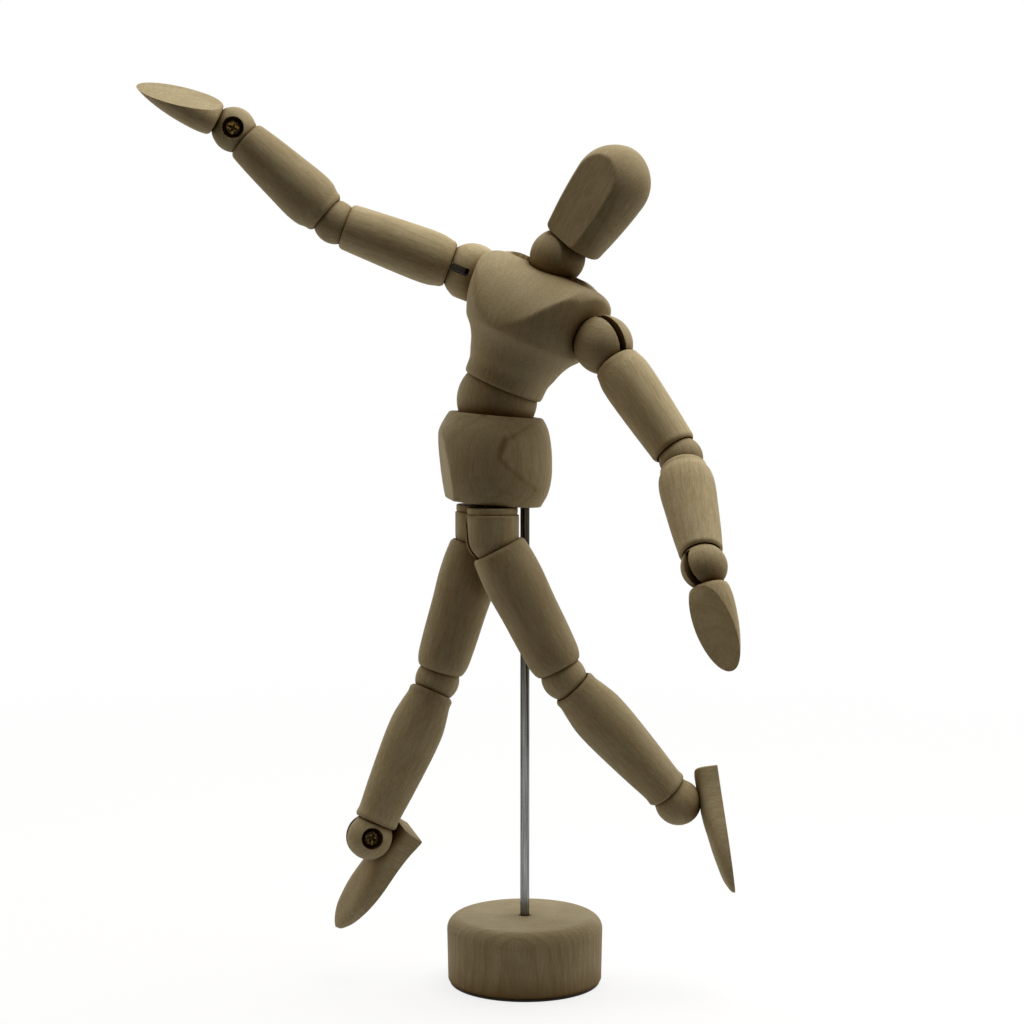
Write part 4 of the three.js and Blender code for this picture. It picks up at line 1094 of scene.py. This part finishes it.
def limb(name, start, stop, hinge, low_end, high_end, radius, shape):
    """Turned limb between two balls. An end: rim plane, ball radius, bore radius and depth."""
    low, low_ball, low_rod, low_depth = low_end
    high, high_ball, high_rod, high_depth = high_end
    length = (stop - start).length
    low_cup, high_cup = low_ball + CUP_GAP, high_ball + CUP_GAP
    span = length - low - high
    outer = limb_rim(low, low_ball, low, 1, (0.22, 0.8))
    outer += [(low + share * span, part * radius) for share, part in shape]
    outer += limb_rim(length - high, high_ball, high, -1, (0.2, 0.7))[::-1]
    low_bore, low_bore_end = low_rod + GAP, low_ball + low_depth + GAP
    high_bore, high_bore_end = high_rod + GAP, length - (high_ball + high_depth + GAP)
    low_start = math.sqrt(low_cup**2 - low_bore**2)
    high_start = length - math.sqrt(high_cup**2 - high_bore**2)
    profile = [(low_bore_end, 0), (low_bore_end, low_bore)]
    profile += straight(profile[-1], (low_start, low_bore), 3)
    profile += cup_arc(0, low_cup, low_start, low + 0.2)[1:]
    profile += smooth_line(outer, 0.5)
    profile += cup_arc(length, high_cup, length - high - 0.2, high_start)
    profile += straight((high_start, high_bore), (high_bore_end, high_bore), 3)
    profile += [(high_bore_end, 0)]
    dress(name, lathe(profile), frame_at(start, (stop - start).normalized(), hinge), "wood")


def linked_joint(name, centre, upper_axis, lower_axis, radius):
    """Plain ball with its two links: a rod with a cross pin, and a fork."""
    hinge = upper_axis.cross(lower_axis).normalized()
    reach = radius + FAN_OVERCUT
    far = radius + SHANK_DEPTH
    half = LINK_ROD_RADIUS + GAP
    fork_half = FORK_OUTER + GAP
    backwards = Matrix.Rotation(math.pi, 4, "X")
    rod = join(
        pin(LINK_ROD_RADIUS, -far, 0.4, edge=WIRE_EDGE, sides=ROD_SIDES),
        pin(LINK_PIN_RADIUS, -LINK_PIN_HALF, LINK_PIN_HALF, CROSSWISE, WIRE_EDGE, ROD_SIDES),
    )
    dress(name + "_upper_rod", rod, frame_at(centre, upper_axis, hinge), "steel")
    solid = cut(
        ball(radius),
        prism(fan(reach, half, LINK_BEND), -half, half, backwards),
        prism(fan(reach, half + 0.2, LINK_BEND), -fork_half, fork_half),
        pin(FORK_EYE_RADIUS + GAP, -fork_half, fork_half, CROSSWISE),
        pin(LINK_PIN_RADIUS + GAP, -LINK_PIN_HALF - GAP, LINK_PIN_HALF + GAP, CROSSWISE),
    )
    snap_to_ball(sand(solid), radius)
    dress(name + "_ball", solid, frame_at(centre, upper_axis + lower_axis, hinge), "wood")
    bar = LINK_ROD_RADIUS
    fork = join(
        pin(FORK_EYE_RADIUS, -FORK_OUTER, FORK_OUTER, CROSSWISE, edge=PLATE_EDGE),
        box((-FORK_OUTER, -bar, 0), (FORK_OUTER, bar, FORK_BAR_LENGTH)),
    )
    cut(
        fork,
        box((-FORK_INNER, -FORK_MOUTH, -FORK_MOUTH), (FORK_INNER, FORK_MOUTH, FORK_MOUTH)),
        pin(LINK_PIN_RADIUS + GAP, -FORK_MOUTH, FORK_MOUTH, CROSSWISE, sides=ROD_SIDES),
    )
    join(fork, pin(LINK_ROD_RADIUS, FORK_ROD_ROOT, far, edge=WIRE_EDGE, sides=ROD_SIDES))
    dress(name + "_lower_rod", fork, frame_at(centre, lower_axis, hinge), "steel")
    return hinge


def hand_mesh(share, tongue):
    """Flattened spindle cut by the sloping plane of the palm."""
    rim, end = HAND_RIM * share, HAND_REACH * share
    wide = HAND_WIDTH / 2 * share
    outer = [(rim, wide * 0.74), (rim + 0.3, wide * 0.8), (rim + 0.9, wide * 0.865)]
    outer += [(rim + (end - rim) * part, wide * size) for part, size in HAND_SHAPE]
    outer += [(end - 0.35, wide * 0.3), (end, 0)]
    made = lathe(solid_profile(outer, 0.45), HAND_SIDES)
    points = points_of(made) * np.array([1, HAND_THICKNESS / HAND_WIDTH, 1])
    set_points(made, points)
    palm = frame_at(Vector((0, PALM_OFFSET * share, rim)), Vector((0, 1, PALM_SLOPE)), ACROSS)
    cut(made, box((-BLOCK, -2 * BLOCK, 0), (BLOCK, 2 * BLOCK, BLOCK), palm))
    bore = pin(TONGUE_HALF + GAP, 0, (WRIST_BALL_RADIUS + SHANK_DEPTH) * share + GAP, tongue)
    return cut(made, cup(WRIST_BALL_RADIUS * share), bore)


def end_joint(side, joint, node, before, radius, down, front, shank, shape):
    """Slotted ball of a wrist or ankle with its hand or foot. front is where palm or toe faces."""
    name = side + "_" + joint
    centre = joint_place(name + "_swivel")
    tongue_axis = across(down, joint_axis(name + "_bend", SCREW[name]))
    slotted_joint(name, radius, before, tongue_axis, END_DOWEL, shank)
    axis = Vector(down).normalized()
    left = across(front, axis).cross(axis)
    place = frame_at(centre, axis, left)
    tongue = place.inverted() @ frame_at(centre, tongue_axis, left)
    dress(side + "_" + node, shape(tongue), place, "wood")


def arm(side, outward, shoulder):
    share = ARM_SHARE[side]
    shoulder_ball = SHOULDER_BALL_RADIUS * share
    elbow_ball = ELBOW_BALL_RADIUS * share
    wrist_ball = WRIST_BALL_RADIUS * share
    elbow = joint_place(side + "_elbow_upper")
    wrist = joint_place(side + "_wrist_swivel")
    upper_axis = (elbow - shoulder).normalized()
    fore_axis = (wrist - elbow).normalized()
    slotted_joint(side + "_shoulder", shoulder_ball, outward, upper_axis, SHOULDER_DOWEL)
    hinge = linked_joint(side + "_elbow", elbow, upper_axis, fore_axis, elbow_ball)
    limb(
        side + "_upper_arm", shoulder, elbow, hinge,
        (SHOULDER_RIM * share, shoulder_ball, TONGUE_HALF, SHANK_DEPTH),
        (UPPER_ARM_ELBOW_RIM * share, elbow_ball, LINK_ROD_RADIUS, SHANK_DEPTH),
        UPPER_ARM_RADIUS * share, UPPER_ARM_SHAPE,
    )
    limb(
        side + "_forearm", elbow, wrist, hinge,
        (FOREARM_ELBOW_RIM * share, elbow_ball, LINK_ROD_RADIUS, SHANK_DEPTH),
        (WRIST_RIM * share, wrist_ball, DOWEL_RADIUS, END_DOWEL),
        FOREARM_RADIUS * share, FOREARM_SHAPE,
    )
    end_joint(
        side, "wrist", "hand", fore_axis, wrist_ball, HAND[side], PALM[side], HAND_SHANK,
        lambda tongue: hand_mesh(share, tongue),
    )


# Legs


def hip_shape():
    """Short cylinder with a rounded lower end, a groove and a narrower collar."""
    profile = [(-HIP_COLLAR_TOP, 0)]
    profile += straight(profile[0], (-HIP_COLLAR_TOP, HIP_BALL_RADIUS - 0.65), 1)
    profile += [
        (-HIP_COLLAR_TOP + 0.2, HIP_BALL_RADIUS - 0.45),
        (-HIP_GROOVE_HIGH - 0.1, HIP_BALL_RADIUS - 0.45),
        (-HIP_GROOVE_HIGH, HIP_BALL_RADIUS - 0.75),
        (-HIP_GROOVE_LOW, HIP_BALL_RADIUS - 0.75),
        (-HIP_GROOVE_LOW + 0.1, HIP_BALL_RADIUS - 0.1),
        (-HIP_GROOVE_LOW + 0.25, HIP_BALL_RADIUS),
    ]
    profile += straight(profile[-1], (0, HIP_BALL_RADIUS), 0.8)
    for i in range(1, 32):
        angle = math.pi / 2 * i / 32
        profile.append((HIP_BALL_RADIUS * math.sin(angle), HIP_BALL_RADIUS * math.cos(angle)))
    profile.append((HIP_BALL_RADIUS, 0))
    return lathe(profile)


def loft(sections):
    """Closed surface through rings of points, with a fan at each end."""
    count = len(sections[0])
    points = [p for ring in sections for p in ring]
    faces = []
    for row in range(len(sections) - 1):
        for i in range(count):
            j = (i + 1) % count
            a, b = row * count, (row + 1) * count
            faces.append([a + i, a + j, b + j, b + i])
    for row, flip in ((0, True), (len(sections) - 1, False)):
        middle = tuple(np.mean(sections[row], axis=0))
        points.append(middle)
        for i in range(count):
            j = (i + 1) % count
            corners = [row * count + i, row * count + j, len(points) - 1]
            faces.append(corners[::-1] if flip else corners)
    made = mesh_object("loft", points, faces)
    mesh = bmesh.new()
    mesh.from_mesh(made.data)
    bmesh.ops.recalc_face_normals(mesh, faces=mesh.faces)
    mesh.to_mesh(made.data)
    mesh.free()
    return made


def foot_mesh(tongue):
    """Flat sole, square heel, drawn-in arch and a thin rounded toe. Z runs to the sole, Y to the toe."""
    sole = FOOT_TOP + FOOT_THICKNESS
    plan = dict(smooth_table(FOOT_PLAN))
    side = dict(smooth_table(FOOT_SIDE))
    sections = []
    for share in sorted(plan):
        half = max(plan[share] * FOOT_WIDTH / 2, 0.05)
        thick = max(side[share] * FOOT_THICKNESS, 0.6)
        inset = 0.5 * max(0, 1 - share * FOOT_LENGTH / HEEL_ROUNDING) ** 2
        half, thick, low = half - inset, thick - inset, inset * 0.6
        corner = 2 / (3.2 + 3 * max(0, 0.35 - share))
        ring = [
            (half * (1 - 2 * (i + 0.5) / SOLE_POINTS), sole - low)
            for i in range(SOLE_POINTS)
        ]
        for i in range(UPPER_POINTS + 1):
            angle = math.pi * i / UPPER_POINTS
            x = -half * abs(math.cos(angle)) ** corner * math.copysign(1, math.cos(angle))
            rise = thick * abs(math.sin(angle)) ** corner
            ring.append((x, sole - low - rise))
        y = -FOOT_HEEL_LENGTH + share * FOOT_LENGTH
        sections.append([(x, y, z) for x, z in ring])
    made = loft(sections)
    cut(made, cup(ANKLE_BALL_RADIUS))
    if tongue:
        cut(made, pin(TONGUE_HALF + GAP, 0, sole - FOOT_SHANK_COVER, tongue))
    return made


def smooth_table(table):
    """A table of (share, value) filled in smoothly at even shares, closer together at the ends."""
    line = smooth_line(table, 0.004)
    shares = np.array([p[0] for p in line])
    values = np.array([p[1] for p in line])
    steps = [0.5 - 0.5 * math.cos(math.pi * i / FOOT_ROWS) for i in range(FOOT_ROWS + 1)]
    return [(round(s, 6), float(np.interp(s, shares, values))) for s in steps]


def leg(side):
    hip = joint_place(side + "_hip_swivel")
    knee = joint_place(side + "_knee_upper")
    ankle = joint_place(side + "_ankle_swivel")
    thigh_axis = (knee - hip).normalized()
    shin_axis = (ankle - knee).normalized()
    slotted_joint(side + "_hip", HIP_BALL_RADIUS, HIP_AXIS, thigh_axis, HIP_POST_LENGTH, hip=True)
    hinge = linked_joint(side + "_knee", knee, thigh_axis, shin_axis, KNEE_BALL_RADIUS)
    limb(
        side + "_thigh", hip, knee, hinge,
        (THIGH_HIP_RIM, HIP_BALL_RADIUS, TONGUE_HALF, SHANK_DEPTH),
        (THIGH_KNEE_RIM, KNEE_BALL_RADIUS, LINK_ROD_RADIUS, SHANK_DEPTH),
        THIGH_RADIUS, THIGH_SHAPE,
    )
    limb(
        side + "_shin", knee, ankle, hinge,
        (SHIN_KNEE_RIM, KNEE_BALL_RADIUS, LINK_ROD_RADIUS, SHANK_DEPTH),
        (ANKLE_RIM, ANKLE_BALL_RADIUS, DOWEL_RADIUS, END_DOWEL),
        SHIN_RADIUS, SHIN_SHAPE,
    )
    end_joint(
        side, "ankle", "foot", shin_axis, ANKLE_BALL_RADIUS,
        FOOT_DOWN[side], FOOT_TOE[side], ANKLE_SHANK[side],
        lambda tongue: foot_mesh(tongue if side == BORED_FOOT else None),
    )


# Camera, light and floor


def build_camera():
    data = bpy.data.cameras.new("camera")
    data.lens = CAMERA_LENS
    data.sensor_width = SENSOR_WIDTH
    data.clip_start = 0.05
    data.clip_end = 40
    camera = new_object("camera", data)
    camera.location = Vector(CAMERA_PLACE) * MM
    camera.rotation_euler = (math.pi / 2 - CAMERA_PITCH, 0, 0)
    bpy.context.scene.camera = camera


def seen_directly(graph):
    """1 for camera, glossy and transmission rays."""
    path = graph.node("LightPath")
    found = graph.math("MAXIMUM", path.outputs["Is Camera Ray"], path.outputs["Is Glossy Ray"])
    return graph.math("MAXIMUM", found, path.outputs["Is Transmission Ray"])


def build_world():
    """White to look at. It lights the object from the back and sides, as a bright backdrop does."""
    world = bpy.data.worlds.new("studio")
    bpy.context.scene.world = world
    world.use_nodes = True
    world.node_tree.nodes.clear()
    graph = Graph(world.node_tree)
    direction = graph.node("TexCoord").outputs["Generated"]
    parts = graph.node("SeparateXYZ", Vector=direction)
    back = graph.remap(parts.outputs["Y"], *LIGHT_SPAN, smooth=True)
    cool = graph.remap(parts.outputs["Y"], *TINT_SPAN, smooth=True)
    top = graph.remap(parts.outputs["Z"], *TOP_TINT_SPAN, smooth=True)
    level = graph.remap(back, 0.0, 1.0, FRONT_LIGHT, BACK_LIGHT)
    tint = graph.mix(graph.math("MAXIMUM", cool, top), FRONT_TINT, BACK_TINT)
    light = graph.node("Background", Color=tint, Strength=level)
    white = graph.node("Background", Color=WHITE, Strength=1.0)
    graph.output("OutputWorld", seen_directly(graph), light, white)


def build_lamp():
    """Soft lamp above, nearer to the figure than to its stand."""
    data = bpy.data.lights.new("lamp", "AREA")
    data.size = LAMP_SIZE
    data.energy = LAMP_POWER
    data.color = LAMP_TINT
    lamp = new_object("lamp", data)
    lamp.location = LAMP_PLACE
    aim = Vector(LAMP_TARGET) - Vector(LAMP_PLACE)
    lamp.rotation_euler = aim.to_track_quat("-Z", "Y").to_euler()
    lamp.visible_glossy = False


def build_floor():
    """White to look at, with the object's shadow. Little light comes back up from in front."""
    signs = ((-1, -1), (1, -1), (1, 1), (-1, 1))
    floor = mesh_object("floor", [(x * FLOOR_HALF, y * FLOOR_HALF, 0) for x, y in signs], [[0, 1, 2, 3]])
    floor.location.z = -FLOOR_DROP
    material = bpy.data.materials.new("pale_floor")
    material.use_nodes = True
    material.node_tree.nodes.clear()
    graph = Graph(material.node_tree)
    place = graph.node("NewGeometry").outputs["Position"]
    depth = graph.node("SeparateXYZ", Vector=place).outputs["Y"]
    bounce = graph.remap(depth, *BOUNCE_SPAN, FRONT_FLOOR, BACK_FLOOR, smooth=True)
    seen = seen_directly(graph)
    bounce = graph.math("MAXIMUM", bounce, graph.math("MULTIPLY", seen, SEEN_FLOOR))
    grey = graph.node("CombineColor", i0=bounce, i1=bounce, i2=bounce).outputs[0]
    matt = graph.node("BsdfDiffuse", Color=grey)
    glow = graph.node("Emission", Color=WHITE, Strength=1.0)
    away = graph.node("VectorMath", {"operation": "LENGTH"}, i0=place).outputs["Value"]
    amount = graph.math("MULTIPLY", seen, graph.remap(away, *GLOW_SPAN, FLOOR_GLOW, 1.0))
    graph.output("OutputMaterial", amount, matt, glow)
    floor.data.materials.append(material)


build_camera()
build_stand()
build_pelvis()
torso_axis, torso_left, shoulders = build_torso()
build_head(torso_axis)
for side in SIDES:
    arm(side, torso_left if side == "left" else -torso_left, shoulders[side])
    leg(side)
build_world()
build_lamp()
build_floor()
bpy.context.scene.view_settings.view_transform = "Standard"
